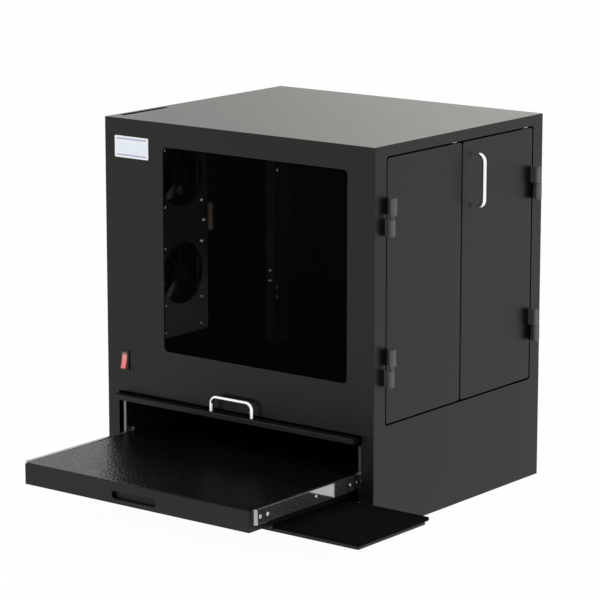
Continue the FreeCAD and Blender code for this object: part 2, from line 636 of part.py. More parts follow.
def window_set():
    """Clear pane between a rubber seal and a steel retainer, held by studs and nuts."""
    corner = "window_corner+window_border"
    places = stud_places()
    hole = "stud_radius+stud_play"
    seal = slab("window_seal", "Y", PANE_X, SEAL_Y, PANE_Z, corner)
    window(seal, "window_seal_opening", "Y", WINDOW_X, SEAL_Y, WINDOW_Z, "window_corner")
    pane = slab("window_pane", "Y", PANE_X, PANE_Y, PANE_Z, corner)
    retainer = slab("window_retainer", "Y", PANE_X, RETAINER_Y, PANE_Z, corner)
    clear_x, clear_z = inset(WINDOW_X, "-retainer_lap"), inset(WINDOW_Z, "-retainer_lap")
    window(retainer, "retainer_opening", "Y", clear_x, RETAINER_Y, clear_z, "window_corner+retainer_lap")
    for body, level in ((seal, SEAL_Y[0]), (pane, PANE_Y[0]), (retainer, RETAINER_Y[0])):
        drill(body, f"{body.Name}_holes", "Y", level, hole, places)
        node(body.Name, body)
    studs = []
    for index, place in enumerate(places):
        nut_y = from_low(RETAINER_Y[1], "head_height")
        shank = rod(f"stud_{index}", "Y", "stud_radius", (INNER_FRONT, f"{nut_y[1]}+stud_tail"), place)
        nut = rod(f"nut_{index}", "Y", "head_radius", nut_y, place)
        studs.append(fused(f"stud_and_nut_{index}", shank, nut))
    group("window_studs", studs)


def name_plate():
    x = from_low(f"{LEFT}+plate_inset_left", "plate_width")
    z = from_low("cabinet_height-plate_inset_top-plate_height", "plate_height")
    y = (f"{FRONT}-plate_thickness", FRONT)
    node("name_plate", slab("name_plate", "Y", x, y, z, "plate_corner"))


def switch():
    """Rocker switch: a housing snapped into the front panel and a rocker on two stubs."""
    housing_y = (FRONT, f"{INNER_FRONT}+bezel_depth")
    flange_y = (f"{FRONT}-bezel_proud", FRONT)
    flange_x, flange_z = inset(SWITCH_HOUSING_X, "-bezel_lip"), inset(SWITCH_HOUSING_Z, "-bezel_lip")
    outside = fused(
        "switch_outside",
        block("switch_flange", flange_x, flange_y, flange_z),
        block("switch_tub", SWITCH_HOUSING_X, housing_y, SWITCH_HOUSING_Z),
    )
    well_y = (flange_y[0], f"{housing_y[1]}-bezel_wall")
    well = block("switch_well", SWITCH_WELL_X, well_y, SWITCH_WELL_Z)
    pivot = (FRONT, SWITCH_Z)
    seat = rod("switch_seat", "X", "trunnion_radius+pin_play", SWITCH_HOUSING_X, pivot)
    node("switch_housing", less("switch_shell", outside, well, seat))

    rocker_y = ("-rocker_front", "rocker_back")
    rocker_x, rocker_z = span("0", "rocker_width"), span("0", "rocker_height")
    rocker = slab("switch_rocker", "Y", rocker_x, rocker_y, rocker_z)
    round_edges(rocker, "rocker_edges", "bezel_wall", lambda point: near(point.y, rocker_y[0]))
    round_pad(rocker, "trunnions", "trunnion_radius", span("0", "rocker_width+2*trunnion_reach"))
    lean = FreeCAD.Rotation(FreeCAD.Vector(-1, 0, 0), number("rocker_tilt"))
    rocker.Placement = FreeCAD.Placement(FreeCAD.Vector(), lean)
    bind(rocker, "Placement.Rotation.Angle", "rocker_tilt")
    for axis, place in zip("xyz", (SWITCH_X, *pivot)):
        bind(rocker, f"Placement.Base.{axis}", place)
    node("switch_rocker", rocker)


def air_duct():
    """Fan plate with its bottom and back walls, filter mat and the fans' screws."""
    plate_x = (DUCT_FACE, f"{DUCT_FACE}+{WALL}")
    plate_z = (DUCT_BOTTOM, INNER_TOP)
    plate = slab("fan_plate", "X", plate_x, (INNER_FRONT, DUCT_BACK), plate_z)
    half = f"{FAN_SCREW_PITCH}/2"
    fan_holes = [
        (f"{FAN_Y}{row}{half}", f"{level}{column}{half}")
        for level in FAN_LEVELS.values() for row in "+-" for column in "+-"
    ]
    fan_middles = [(FAN_Y, level) for level in FAN_LEVELS.values()]
    drill(plate, "fan_opening", "X", DUCT_FACE, f"{FAN_BORE}/2", fan_middles)
    drill(plate, "fan_plate_holes", "X", DUCT_FACE, "stud_radius+stud_play", fan_holes)
    inside_x, plate_y = (INNER_LEFT, DUCT_FACE), (INNER_FRONT, DUCT_BACK)
    bottom = block("duct_floor", inside_x, plate_y, from_low(DUCT_BOTTOM, WALL))
    back_y = (f"{DUCT_BACK}-{WALL}", DUCT_BACK)
    back = block("duct_end", inside_x, back_y, (f"{DUCT_BOTTOM}+{WALL}", INNER_TOP))
    node("fan_duct", fused("fan_duct_solid", plate, bottom, back))
    filter_z = (f"{INNER_TOP}-filter_drop-filter_thickness", f"{INNER_TOP}-filter_drop")
    node("duct_filter", block("filter_mat", inside_x, (INNER_FRONT, back_y[0]), filter_z))
    screws = []
    for index, place in enumerate(fan_holes):
        head = rod(f"fan_screw_head_{index}", "X", "head_radius", from_low(plate_x[1], "head_height"), place)
        shank_x = (f"{DUCT_FACE}-fan_depth", plate_x[1])
        shank = rod(f"fan_screw_shank_{index}", "X", "stud_radius", shank_x, place)
        screws.append(fused(f"fan_screw_{index}", head, shank))
    group("fan_screws", screws)


def fan(name, level):
    """Axial fan: square frame with motor seat and four struts, and a rotor with leaning blades."""
    x = (f"{DUCT_FACE}-fan_depth", DUCT_FACE)
    y, z = span(FAN_Y, "fan_size"), span(level, "fan_size")
    middle = (FAN_Y, level)
    body = slab(f"{name}_fan_square", "X", x, y, z, "fan_corner")
    drill(body, f"{name}_fan_bore", "X", DUCT_FACE, f"{FAN_BORE}/2", [middle])
    half = f"{FAN_SCREW_PITCH}/2"
    corners = [(f"{FAN_Y}{row}{half}", f"{level}{column}{half}") for row in "+-" for column in "+-"]
    drill(body, f"{name}_fan_holes", "X", DUCT_FACE, "stud_radius+stud_play", corners)
    seat_x = from_low(x[0], "fan_seat")
    seat = fused(
        f"{name}_fan_seat",
        rod(f"{name}_fan_disc", "X", "fan_hub_radius", seat_x, middle),
        block(f"{name}_fan_strut", seat_x, span(FAN_Y, f"{FAN_BORE}+fan_rim"), span(level, "fan_strut")),
        block(f"{name}_fan_brace", seat_x, span(FAN_Y, "fan_strut"), span(level, f"{FAN_BORE}+fan_rim")),
    )
    bearing = rod(f"{name}_fan_bearing", "X", "shaft_radius+pin_play", seat_x, middle)
    frame = less(f"{name}_fan_frame", fused(f"{name}_fan_solid", body, seat), bearing)

    hub_x = ("fan_axial_play", "fan_depth-fan_seat-fan_hub_setback")
    rotor = doc.addObject("PartDesign::Body", f"{name}_fan_rotor")
    round_pad(rotor, f"{name}_hub", "fan_hub_radius", hub_x)
    round_pad(rotor, f"{name}_shaft", "shaft_radius", ("-fan_seat+fan_axial_play", hub_x[0]))
    start = "fan_axial_play+blade_thickness/2"
    profile = sketch_at(rotor, f"{name}_blade_profile", "Z", "fan_hub_radius*0.9", start, "-blade_lean/2")
    chord, lean, thick = number("blade_chord"), number("blade_lean"), number("blade_thickness")
    corners = [(0, 0), (thick, 0), (thick + chord, lean), (chord, lean)]
    for index in range(4):
        line(profile, corners[index], corners[(index + 1) % 4])
    for index in range(4):
        profile.addConstraint(Sketcher.Constraint("Coincident", index, 2, (index + 1) % 4, 1))
    profile.addConstraint(Sketcher.Constraint("Coincident", 0, 1, -1, 1))
    profile.addConstraint(Sketcher.Constraint("Horizontal", 0))
    profile.addConstraint(Sketcher.Constraint("Horizontal", 2))
    dimension(profile, "blade_thickness", "DistanceX", 0, 1, 0, 2)
    dimension(profile, "blade_thickness", "DistanceX", 2, 2, 2, 1)
    dimension(profile, "blade_chord", "DistanceX", 0, 1, 2, 2)
    dimension(profile, "blade_lean", "DistanceY", 0, 1, 2, 2)
    blade = rotor.newObject("PartDesign::Pad", f"{name}_blade")
    blade.Profile = profile
    bind(blade, "Length", f"{FAN_BORE}/2-fan_tip_play-fan_hub_radius*0.9")
    rotor.Tip = blade
    doc.recompute()
    ring = rotor.newObject("PartDesign::PolarPattern", f"{name}_blades")
    ring.Originals = [blade]
    axis = next(feature for feature in rotor.Origin.OriginFeatures if feature.Role == "X_Axis")
    ring.Axis = (axis, [""])
    ring.Angle = 360
    bind(ring, "Occurrences", "fan_blades")
    rotor.Tip = ring
    for axis, place in zip("xyz", (seat_x[1], FAN_Y, level)):
        bind(rotor, f"Placement.Base.{axis}", place)
    node(f"{name}_fan_rotor", rotor)
    return frame


def wiring():
    """Fuse on the left wall and the upright cable raceway in the back corner."""
    y = f"({DUCT_BACK}+fuse_gap)"
    ends = span(f"{COMPARTMENT_FLOOR}+fuse_rise", "fuse_height")
    base_x = from_low(INNER_LEFT, "fuse_holder_depth")
    base_y = inset(span(y, "fuse_cap_width"), "-fuse_holder_margin")
    node("fuse_holder", block("fuse_base", base_x, base_y, inset(ends, "-fuse_holder_margin")))
    cap_x = from_low(base_x[1], "fuse_cap_width")
    lower = block("fuse_cap_lower", cap_x, span(y, "fuse_cap_width"), from_low(ends[0], "fuse_cap_height"))
    upper_z = (f"{ends[1]}-fuse_cap_height", ends[1])
    upper = block("fuse_cap_upper", cap_x, span(y, "fuse_cap_width"), upper_z)
    group("fuse_caps", [lower, upper])
    middle = (f"{cap_x[0]}+fuse_cap_width/2", y)
    node("fuse_body", rod("fuse_tube", "Z", "fuse_radius", inset(ends, "fuse_cap_height"), middle))

    body = slab("cable_raceway", "Z", RACEWAY_X, RACEWAY_Y, RACEWAY_Z)
    window(body, "raceway_inside", "Z", inset(RACEWAY_X, WALL), inset(RACEWAY_Y, WALL), RACEWAY_Z)
    node("cable_raceway", body)


def panel_screws():
    """Pan heads on the back panel, on the fan plate, on the raceway and on the left panel."""
    heads = []
    rim_x, rim_z = inset(CABINET_X, "back_screw_inset"), inset(("0", "cabinet_height"), "back_screw_inset")
    back_y = from_low(BACK, "head_height")
    places = [(x, f"{rim_z[0]}+({rim_z[1]}-({rim_z[0]}))*{step}/3") for x in rim_x for step in range(4)]
    places += [("0", level) for level in rim_z]
    for index, place in enumerate(places):
        heads.append(rod(f"back_screw_{index}", "Y", "head_radius", back_y, place))
    plate_face = f"({DUCT_FACE}+{WALL})"
    bottom = f"{DUCT_BOTTOM}+back_screw_inset"
    beside = f"{DUCT_BACK}-back_screw_inset"
    places = [(f"{FAN_Y}{sign}{FAN_SCREW_PITCH}/2", bottom) for sign in "+-"]
    places.append((beside, FAN_MIDDLE))
    duct_x = from_low(plate_face, "head_height")
    for index, place in enumerate(places):
        heads.append(rod(f"duct_screw_{index}", "X", "head_radius", duct_x, place))
    side_x = from_low(RACEWAY_X[1], "head_height")
    side_y = f"{RACEWAY_Y[0]}+raceway_screw_inset"
    low_z = f"{COMPARTMENT_FLOOR}+raceway_screw_rise"
    levels = [low_z, f"{low_z}+raceway_screw_pitch", f"{RACEWAY_Z[1]}-raceway_screw_drop"]
    for index, level in enumerate(levels):
        heads.append(rod(f"raceway_side_screw_{index}", "X", "head_radius", side_x, (side_y, level)))
    front_y = (f"{RACEWAY_Y[0]}-head_height", RACEWAY_Y[0])
    front_x = f"({RACEWAY_X[0]}+{RACEWAY_X[1]})/2"
    for index, level in enumerate(levels[:2]):
        place = (front_x, f"{level}+raceway_screw_step")
        heads.append(rod(f"raceway_front_screw_{index}", "Y", "head_radius", front_y, place))
    wall_place = (f"{DUCT_BACK}+wall_screw_gap", f"{COMPARTMENT_FLOOR}+wall_screw_rise")
    wall_x = from_low(INNER_LEFT, "head_height")
    heads.append(rod("wall_screw", "X", "head_radius", wall_x, wall_place))
    group("panel_screws", heads)


def door_frame():
    """Rebated frame behind the door opening, its rubber strip and the catches above the doors."""
    strip_x = (f"{LEAF_X[0]}-door_seal_play-door_seal_thickness", f"{LEAF_X[0]}-door_seal_play")
    frame_x = (f"{strip_x[0]}-{WALL}", INNER_RIGHT)
    y, z = inset(DOOR_Y, "-frame_lap"), inset(DOOR_Z, "-frame_lap")
    inner_y, inner_z = inset(DOOR_Y, "rebate_inset"), inset(DOOR_Z, "rebate_inset")
    body = slab("door_frame", "X", frame_x, y, z)
    depth = f"{INNER_RIGHT}-({strip_x[0]})"
    hollow(body, "door_rebate", "X", INNER_RIGHT, inset(y, WALL), inset(z, WALL), depth, upwards=False)
    window(body, "door_passage", "X", frame_x, inner_y, inner_z)
    node("door_frame", body)
    strip = slab("door_seal", "X", strip_x, DOOR_Y, DOOR_Z)
    window(strip, "door_seal_passage", "X", strip_x, inner_y, inner_z)
    node("door_seal", strip)
    catch_x = (f"{RIGHT}-catch_setback-catch_depth", f"{RIGHT}-catch_setback")
    catch_z = (f"{DOOR_Z[1]}-catch_height", f"{z[1]}-{WALL}")
    middles = (f"{FRONT_LEAF_Y[1]}-catch_inset", f"{REAR_LEAF_Y[1]}-catch_inset")
    catches = []
    for index, middle in enumerate(middles):
        catches.append(block(f"catch_{index}", catch_x, span(middle, "catch_length"), catch_z))
    group("door_catches", catches)


def hinge_half(name, axis_y, toward, low):
    """Block with a round barrel on the pin's axis, on a stem beside the door gap; toward is + or - along Y."""
    z = from_low(low, "hinge_half_height")

    def beside(near_end, far_end):
        ends = (f"{axis_y}{toward}{near_end}", f"{axis_y}{toward}{far_end}")
        return ends if toward == "+" else ends[::-1]

    stem_start = "(door_gap/2+edge_radius)"
    stem_y = beside(stem_start, f"({stem_start}+hinge_stem)")
    return fused(
        f"{name}_solid",
        rod(f"{name}_barrel", "Z", "hinge_barrel", z, (HINGE_AXIS_X, axis_y)),
        block(f"{name}_leaf", span(HINGE_AXIS_X, "2*hinge_barrel"), beside("0", "hinge_reach"), z),
        block(f"{name}_stem", (RIGHT, HINGE_AXIS_X), stem_y, z),
    )


def hinges():
    """Lift-off hinges: lower halves with the pins on the side panel, upper halves on the doors."""
    frame_halves, pins = [], []
    door_halves = {"front": [], "rear": []}
    for edge, axis_y, to_door in (("front", FRONT_HINGE_Y, "+"), ("rear", REAR_HINGE_Y, "-")):
        to_frame = "-" if to_door == "+" else "+"
        for level, middle in (("lower", f"{DOOR_Z[0]}+hinge_inset"), ("upper", f"{DOOR_Z[1]}-hinge_inset")):
            name = f"{edge}_{level}_hinge"
            low = f"({middle}-{edge}_hinge_split/2-hinge_half_height)"
            high = f"({middle}+{edge}_hinge_split/2)"
            axis = (HINGE_AXIS_X, axis_y)
            seat_z = (f"{low}+hinge_half_height-pin_reach", f"{low}+hinge_half_height")
            bore_z = (high, f"{high}+pin_reach+collar_play")
            frame_half = hinge_half(f"{name}_frame_half", axis_y, to_frame, low)
            seat = rod(f"{name}_seat", "Z", "pin_radius+pin_play", seat_z, axis)
            frame_halves.append(less(f"{name}_lower", frame_half, seat))
            door_half = hinge_half(f"{name}_door_half", axis_y, to_door, high)
            bore = rod(f"{name}_bore", "Z", "pin_radius+pin_play", bore_z, axis)
            door_halves[edge].append(less(f"{name}_upper", door_half, bore))
            pin = rod(f"{name}_pin", "Z", "pin_radius", (seat_z[0], f"{high}+pin_reach"), axis)
            collar = rod(f"{name}_collar", "Z", "collar_radius", (seat_z[1], f"{high}-collar_play"), axis)
            pins.append(fused(f"{name}_pin_and_collar", pin, collar))
    group("frame_hinge_halves", frame_halves)
    group("hinge_pins", pins)
    for edge, halves in door_halves.items():
        group(f"{edge}_door_hinge_halves", halves)


def bow_handle(name, turn, place):
    """Bent round rod on two feet. It is drawn upright over local X and then turned and placed."""
    body = doc.addObject("PartDesign::Body", name)
    path = sketch_at(body, f"{name}_path", "Y", "0")
    half, reach, bend = number("handle_spacing/2"), number("handle_reach"), number("handle_bend")
    quarter = FreeCAD.Units.Quantity("90 deg").getValueAs("rad").Value
    upwards = FreeCAD.Vector(0, 0, 1)
    line(path, (-half, 0), (-half, reach - bend))
    left_bend = Part.Circle(FreeCAD.Vector(bend - half, reach - bend, 0), upwards, bend)
    path.addGeometry(Part.ArcOfCircle(left_bend, quarter, 2 * quarter), False)
    line(path, (bend - half, reach), (half - bend, reach))
    right_bend = Part.Circle(FreeCAD.Vector(half - bend, reach - bend, 0), upwards, bend)
    path.addGeometry(Part.ArcOfCircle(right_bend, 0, quarter), False)
    line(path, (half, reach - bend), (half, 0))
    for joint in ((0, 2, 1, 2), (1, 1, 2, 1), (2, 2, 3, 2), (3, 1, 4, 1)):
        path.addConstraint(Sketcher.Constraint("Tangent", *joint))
    path.addConstraint(Sketcher.Constraint("Vertical", 0))
    path.addConstraint(Sketcher.Constraint("Horizontal", 2))
    path.addConstraint(Sketcher.Constraint("Vertical", 4))
    path.addConstraint(Sketcher.Constraint("PointOnObject", 0, 1, -1))
    path.addConstraint(Sketcher.Constraint("Symmetric", 0, 1, 4, 2, -1, 1))
    path.addConstraint(Sketcher.Constraint("Equal", 1, 3))
    dimension(path, "handle_bend", "Radius", 1)
    dimension(path, "handle_spacing", "DistanceX", 0, 1, 4, 2)
    dimension(path, "handle_reach", "DistanceY", -1, 1, 2, 1)
    profile = sketch_at(body, f"{name}_profile", "Z", "0", "-handle_spacing/2")
    circle_at_origin(profile, "handle_radius")
    doc.recompute()
    pipe = body.newObject("PartDesign::AdditivePipe", f"{name}_pipe")
    pipe.Profile = profile
    pipe.Spine = (path, [f"Edge{index}" for index in range(1, 6)])
    body.Tip = pipe
    feet = [("-handle_spacing/2", "0"), ("handle_spacing/2", "0")]
    drill(body, f"{name}_bores", "Z", "0", "stud_radius+stud_play", feet, "handle_bore")
    body.Placement = FreeCAD.Placement(FreeCAD.Vector(), turn)
    for axis, position in zip("xyz", place):
        bind(body, f"Placement.Base.{axis}", position)
    return node(name, body)


def handle_screws(name, axis, face, places):
    """Screws through a sheet into a handle's feet; the sheet lies below the face along the axis."""
    screws = []
    for index, place in enumerate(places):
        head_along = (f"{face}-{WALL}-head_height", f"{face}-{WALL}")
        shank_along = (f"{face}-{WALL}", f"{face}+handle_bore-stud_tail")
        head = rod(f"{name}_head_{index}", axis, "head_radius", head_along, place)
        shank = rod(f"{name}_shank_{index}", axis, "stud_radius", shank_along, place)
        screws.append(fused(f"{name}_{index}", head, shank))
    group(name, screws)


def door_leaf(name, y):
    """Folded steel pan, open to the inside."""
    body = slab(name, "X", LEAF_X, y, LEAF_Z, "door_corner")
    inside_y, inside_z = inset(y, WALL), inset(LEAF_Z, WALL)
    depth, corner = f"leaf_depth-{WALL}", f"door_corner-{WALL}"
    hollow(body, f"{name}_inside", "X", LEAF_X[0], inside_y, inside_z, depth, corner)
    round_edges(body, f"{name}_edges", "edge_radius", lambda point: near(point.x, RIGHT))
    return body


def doors():
    """Front and rear leaf; the rear leaf carries the handle beside the middle gap."""
    node("front_door", door_leaf("front_door", FRONT_LEAF_Y))
    rear = door_leaf("rear_door", REAR_LEAF_Y)
    handle_y = f"({REAR_LEAF_Y[0]}+door_handle_inset)"
    handle_z = f"({LEAF_Z[1]}-door_handle_drop)"
    feet = [(handle_y, f"{handle_z}{sign}handle_spacing/2") for sign in "+-"]
    drill(rear, "door_handle_holes", "X", RIGHT, "stud_radius+stud_play", feet)
    node("rear_door", rear)
    sideways = FreeCAD.Rotation(FreeCAD.Vector(0, 1, 0), 90)
    bow_handle("door_handle", sideways, (RIGHT, handle_y, handle_z))
    handle_screws("door_handle_screws", "X", RIGHT, feet)


def flap():
    """Pocket flap on its pivot rod, with rollers in two guides beside the drawer opening.

    Its front lip is as wide as the drawer opening; the rest swings between the slide brackets.
    """
    z = (f"{FLAP_TOP}-flap_thickness", FLAP_TOP)
    lip_x, lip_y = span("0", f"2*{FLAP_SIDE}"), (FLAP_Y[0], FRONT)
    swing_x = span("0", f"2*({BRACKET_FACE}-flap_bracket_gap)")
    body = slab("flap_panel", "Z", lip_x, lip_y, z)
    swing = body.newObject("PartDesign::Pad", "flap_swing")
    swing.Profile = draw_rectangle(body, "flap_swing_outline", "Z", z[0], swing_x, FLAP_Y, None)
    bind(swing, "Length", "flap_thickness")
    body.Tip = swing
    for name, x, y in (("lip_inside", lip_x, lip_y), ("flap_inside", swing_x, FLAP_Y)):
        hollow(body, name, "Z", z[0], inset(x, WALL), inset(y, WALL), f"flap_thickness-{WALL}")
    drill(body, "pivot_holes", "X", "0", "pivot_radius+pin_play", [(PIVOT_Y, PIVOT_Z)])
    handle_y = f"({FLAP_Y[0]}+flap_handle_inset)"
    feet = [(f"{sign}handle_spacing/2", handle_y) for sign in "-+"]
    drill(body, "flap_handle_holes", "Z", FLAP_TOP, "stud_radius+stud_play", feet)
    round_edges(
        body, "flap_edges", "fold_radius",
        lambda point: near(point.z, FLAP_TOP) and (near(point.y, FLAP_Y[0]) or near(abs(point.x), FLAP_SIDE)),
    )
    node("flap_panel", body)
    bow_handle("flap_handle", FreeCAD.Rotation(), ("0", handle_y, FLAP_TOP))
    handle_screws("flap_handle_screws", "Z", FLAP_TOP, feet)

    pivot = (PIVOT_Y, PIVOT_Z)
    roller_x = (f"{GUIDE_FACE}+guide_face", f"{GUIDE_FACE}+guide_face+roller_length")
    node("flap_rod", rod("pivot_rod", "X", "pivot_radius", span("0", f"2*({roller_x[1]}+{WALL})"), pivot))
    rollers = []
    for side in (-1, 1):
        along = sided(side, *roller_x)
        wheel = rod(f"roller_wheel_{side + 1}", "X", "roller_radius", along, pivot)
        bore = rod(f"roller_bore_{side + 1}", "X", "pivot_radius+pin_play", along, pivot)
        rollers.append(less(f"roller_{side + 1}", wheel, bore))
    group("flap_rollers", rollers)

    guide_y = (INNER_FRONT, f"{PIVOT_Y}+guide_tail")
    guides = []
    for side, label in ((-1, "left"), (1, "right")):
        rail = block(f"rail_{label}", sided(side, GUIDE_FACE, INNER_RIGHT), guide_y, GUIDE_Z)
        groove_x = sided(side, GUIDE_FACE, f"{GUIDE_FACE}+guide_depth")
        groove = block(f"groove_{label}", groove_x, guide_y, span(PIVOT_Z, f"2*{GROOVE_HALF}"))
        guides.append(less(f"guide_{label}", rail, groove))
    group("flap_guides", guides)


def channel(name, side, web, lips, y, height):
    """Slide member: an upright web with a lip along its top and bottom."""
    z = span(SLIDE_Z, height)
    return fused(
        name,
        block(f"{name}_web", sided(side, *web), y, z),
        block(f"{name}_upper_lip", sided(side, *lips), y, (f"{z[1]}-member_wall", z[1])),
        block(f"{name}_lower_lip", sided(side, *lips), y, (z[0], f"{z[0]}+member_wall")),
    )


def slides():
    """Telescopic slides on brackets: a cabinet member round a middle member, and that round a drawer member."""
    outer_y = from_low(f"{FRONT}+slide_setback", "slide_length")
    inner_y = from_low(f"{DRAWER_FRONT}+slide_front", "slide_length")
    step = "2*(member_wall+member_play)"
    middle_height, outer_height = f"inner_height+{step}", f"inner_height+2*{step}"
    outer_web = (f"{BRACKET_FACE}-member_wall", BRACKET_FACE)
    middle_web = (f"{outer_web[0]}-member_play-member_wall", f"{outer_web[0]}-member_play")
    inner_web = from_low(f"{DRAWER_SIDE}+drawer_lip", "member_wall")
    inmost = f"{DRAWER_SIDE}+member_wall+member_play"
    bracket_y = from_low(f"{FRONT}+bracket_setback", "bracket_length")
    bracket_z = (f"{SLIDE_Z}-bracket_drop", f"{GUIDE_Z[0]}-bracket_head_gap")
    flange_x = (f"{BRACKET_FACE}+{WALL}", INNER_RIGHT)
    heads = []
    for side, label in ((-1, "left"), (1, "right")):
        outer = channel(f"outer_{label}", side, outer_web, (inmost, outer_web[0]), outer_y, outer_height)
        node(f"{label}_cabinet_slide", outer)
        middle = channel(f"middle_{label}", side, middle_web, (inmost, middle_web[0]), outer_y, middle_height)
        node(f"{label}_middle_slide", middle)
        inner = channel(f"inner_{label}", side, inner_web, (DRAWER_SIDE, inner_web[0]), inner_y, "inner_height")
        tab_x = sided(side, DRAWER_SIDE, f"{DRAWER_SIDE}+slide_tab")
        tab_y = from_low(inner_y[0], "member_wall")
        tab = block(f"tab_{label}", tab_x, tab_y, span(SLIDE_Z, "inner_height"))
        node(f"{label}_drawer_slide", fused(f"inner_tabbed_{label}", inner, tab))
        front_x = sided(side, flange_x[0], f"{flange_x[0]}+bracket_flange")
        ledge_x = sided(side, *flange_x)
        roof_z = (f"{bracket_z[1]}-{WALL}", bracket_z[1])
        bracket = fused(
            f"bracket_{label}",
            block(f"bracket_web_{label}", sided(side, BRACKET_FACE, flange_x[0]), bracket_y, bracket_z),
            block(f"bracket_front_{label}", front_x, from_low(bracket_y[0], WALL), bracket_z),
            block(f"bracket_roof_{label}", ledge_x, bracket_y, roof_z),
            block(f"bracket_sole_{label}", ledge_x, bracket_y, from_low(bracket_z[0], WALL)),
        )
        node(f"{label}_slide_bracket", bracket)
        head_x = sided(side, inner_web[1], f"{inner_web[1]}+slide_head_height")
        for index, share in enumerate((3, 8, 41, 65, 70)):
            place = (f"{inner_y[0]}+slide_length*{share}/100", SLIDE_Z)
            heads.append(rod(f"slide_head_{label}_{index}", "X", "slide_head_radius", head_x, place))
    group("slide_screws", heads)


def drawer():
    """Steel drawer: an upturned pan with a floor sheet, textured mat and finger pull cup."""
    x, y, z = span("0", f"2*{DRAWER_SIDE}"), (DRAWER_FRONT, DRAWER_BACK), ("drawer_level", TRAY_TOP)
    body = slab("drawer_tray", "Z", x, y, z)
    inside_x, inside_y = inset(x, WALL), inset(y, WALL)
    hollow(body, "drawer_inside", "Z", z[0], inside_x, inside_y, f"{TRAY_TOP}-drawer_level-{WALL}")
    pull_x = span("0", "pull_width")
    pull_z = span(f"{DRAWER_TOP}-pull_drop", "pull_height")
    outline = draw_rectangle(body, "pull_outline", "Y", DRAWER_FRONT, pull_x, pull_z, "pull_height/2.01")
    pocket(body, "pull_slot", outline, f"2*{WALL}")

    def folded(point):
        front_corner = near(point.y, DRAWER_FRONT) and near(abs(point.x), DRAWER_SIDE)
        return near(point.z, TRAY_TOP) or front_corner

    round_edges(body, "drawer_edges", "fold_radius", folded)
    node("drawer_tray", body)
    node("drawer_floor", slab("drawer_floor", "Z", inside_x, inside_y, from_low("drawer_level", WALL)))
    mat_x, mat_y = inset(x, "mat_inset+fold_radius"), inset(y, "mat_inset+fold_radius")
    node("drawer_mat", slab("drawer_mat", "Z", mat_x, mat_y, (TRAY_TOP, DRAWER_TOP), "mat_corner"))
    cup_y = from_low(f"{DRAWER_FRONT}+{WALL}", "pull_depth")
    rim_x, rim_z = inset(pull_x, "-cup_wall"), inset(pull_z, "-cup_wall")
    cup = slab("drawer_pull_cup", "Y", rim_x, cup_y, rim_z, "pull_height/2.01+cup_wall")
    hollow(cup, "cup_inside", "Y", cup_y[0], pull_x, pull_z, "pull_depth-cup_wall", "pull_height/2.01")
    node("drawer_pull_cup", cup)


def mouse_tray():
    """Board on a smaller base, held at its front and back edge by two runners under the drawer."""
    board_z = (f"{MOUSE_TOP}-tray_board", MOUSE_TOP)
    base_z = (f"{board_z[0]}-tray_base", board_z[0])
    board = slab("mouse_tray_board", "Z", MOUSE_X, MOUSE_Y, board_z, "tray_corner")
    round_edges(board, "mouse_tray_edges", "edge_radius", lambda point: near(point.z, MOUSE_TOP))
    node("mouse_tray_board", board)
    base_x, base_y = inset(MOUSE_X, "tray_base_inset"), inset(MOUSE_Y, "tray_base_inset")
    node("mouse_tray_base", slab("mouse_tray_base", "Z", base_x, base_y, base_z, "tray_corner"))
    runner_x = (f"{DRAWER_SIDE}-runner_end_gap-tray_length", f"{DRAWER_SIDE}-runner_end_gap")
    lip_z = (f"{board_z[0]}-runner_play-runner_wall", f"{board_z[0]}-runner_play")
    web_z = (f"{MOUSE_TOP}+runner_play", "drawer_level")
    runners = []
    for label, edge, inwards in (("front", MOUSE_Y[0], "+"), ("back", MOUSE_Y[1], "-")):
        outwards = "-" if inwards == "+" else "+"
        wall_in = f"{edge}{outwards}runner_play"
        wall_out = f"{wall_in}{outwards}runner_wall"
        web_in = f"{wall_out}{inwards}runner_web"
        lip_in = f"{edge}{inwards}(tray_base_inset-2*runner_play)"

        def ordered(first, second):
            return (first, second) if inwards == "+" else (second, first)

        runner = fused(
            f"runner_{label}",
            block(f"runner_web_{label}", runner_x, ordered(wall_out, web_in), web_z),
            block(f"runner_wall_{label}", runner_x, ordered(wall_out, wall_in), (lip_z[0], web_z[0])),
            block(f"runner_lip_{label}", runner_x, ordered(wall_in, lip_in), lip_z),
        )
        runners.append(runner)
    group("tray_runners", runners)


def export():
    """Checks every object and every piece, then writes one file for each piece."""
    doc.recompute()
    failed = [thing.Label for thing in doc.Objects if {"Invalid", "Error"} & set(thing.State)]
    bad = [name for name, thing in NODES.items() if thing.Shape.isNull() or not thing.Shape.isValid()]
    if failed or bad:
        raise RuntimeError(f"objects that failed: {failed}; pieces that are not valid: {bad}")
    os.makedirs("parts", exist_ok=True)
    for name, thing in NODES.items():
        thing.Shape.exportStep(f"parts/{name}.step")


front_panel()
top_panel()
side_and_base_panels()
back_panel()
window_set()
name_plate()
switch()
air_duct()
group("fan_frames", [fan(name, level) for name, level in FAN_LEVELS.items()])
wiring()
panel_screws()
door_frame()
hinges()
doors()
flap()
slides()
drawer()
mouse_tray()
export()
print(f"{len(NODES)} pieces")
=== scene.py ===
import json

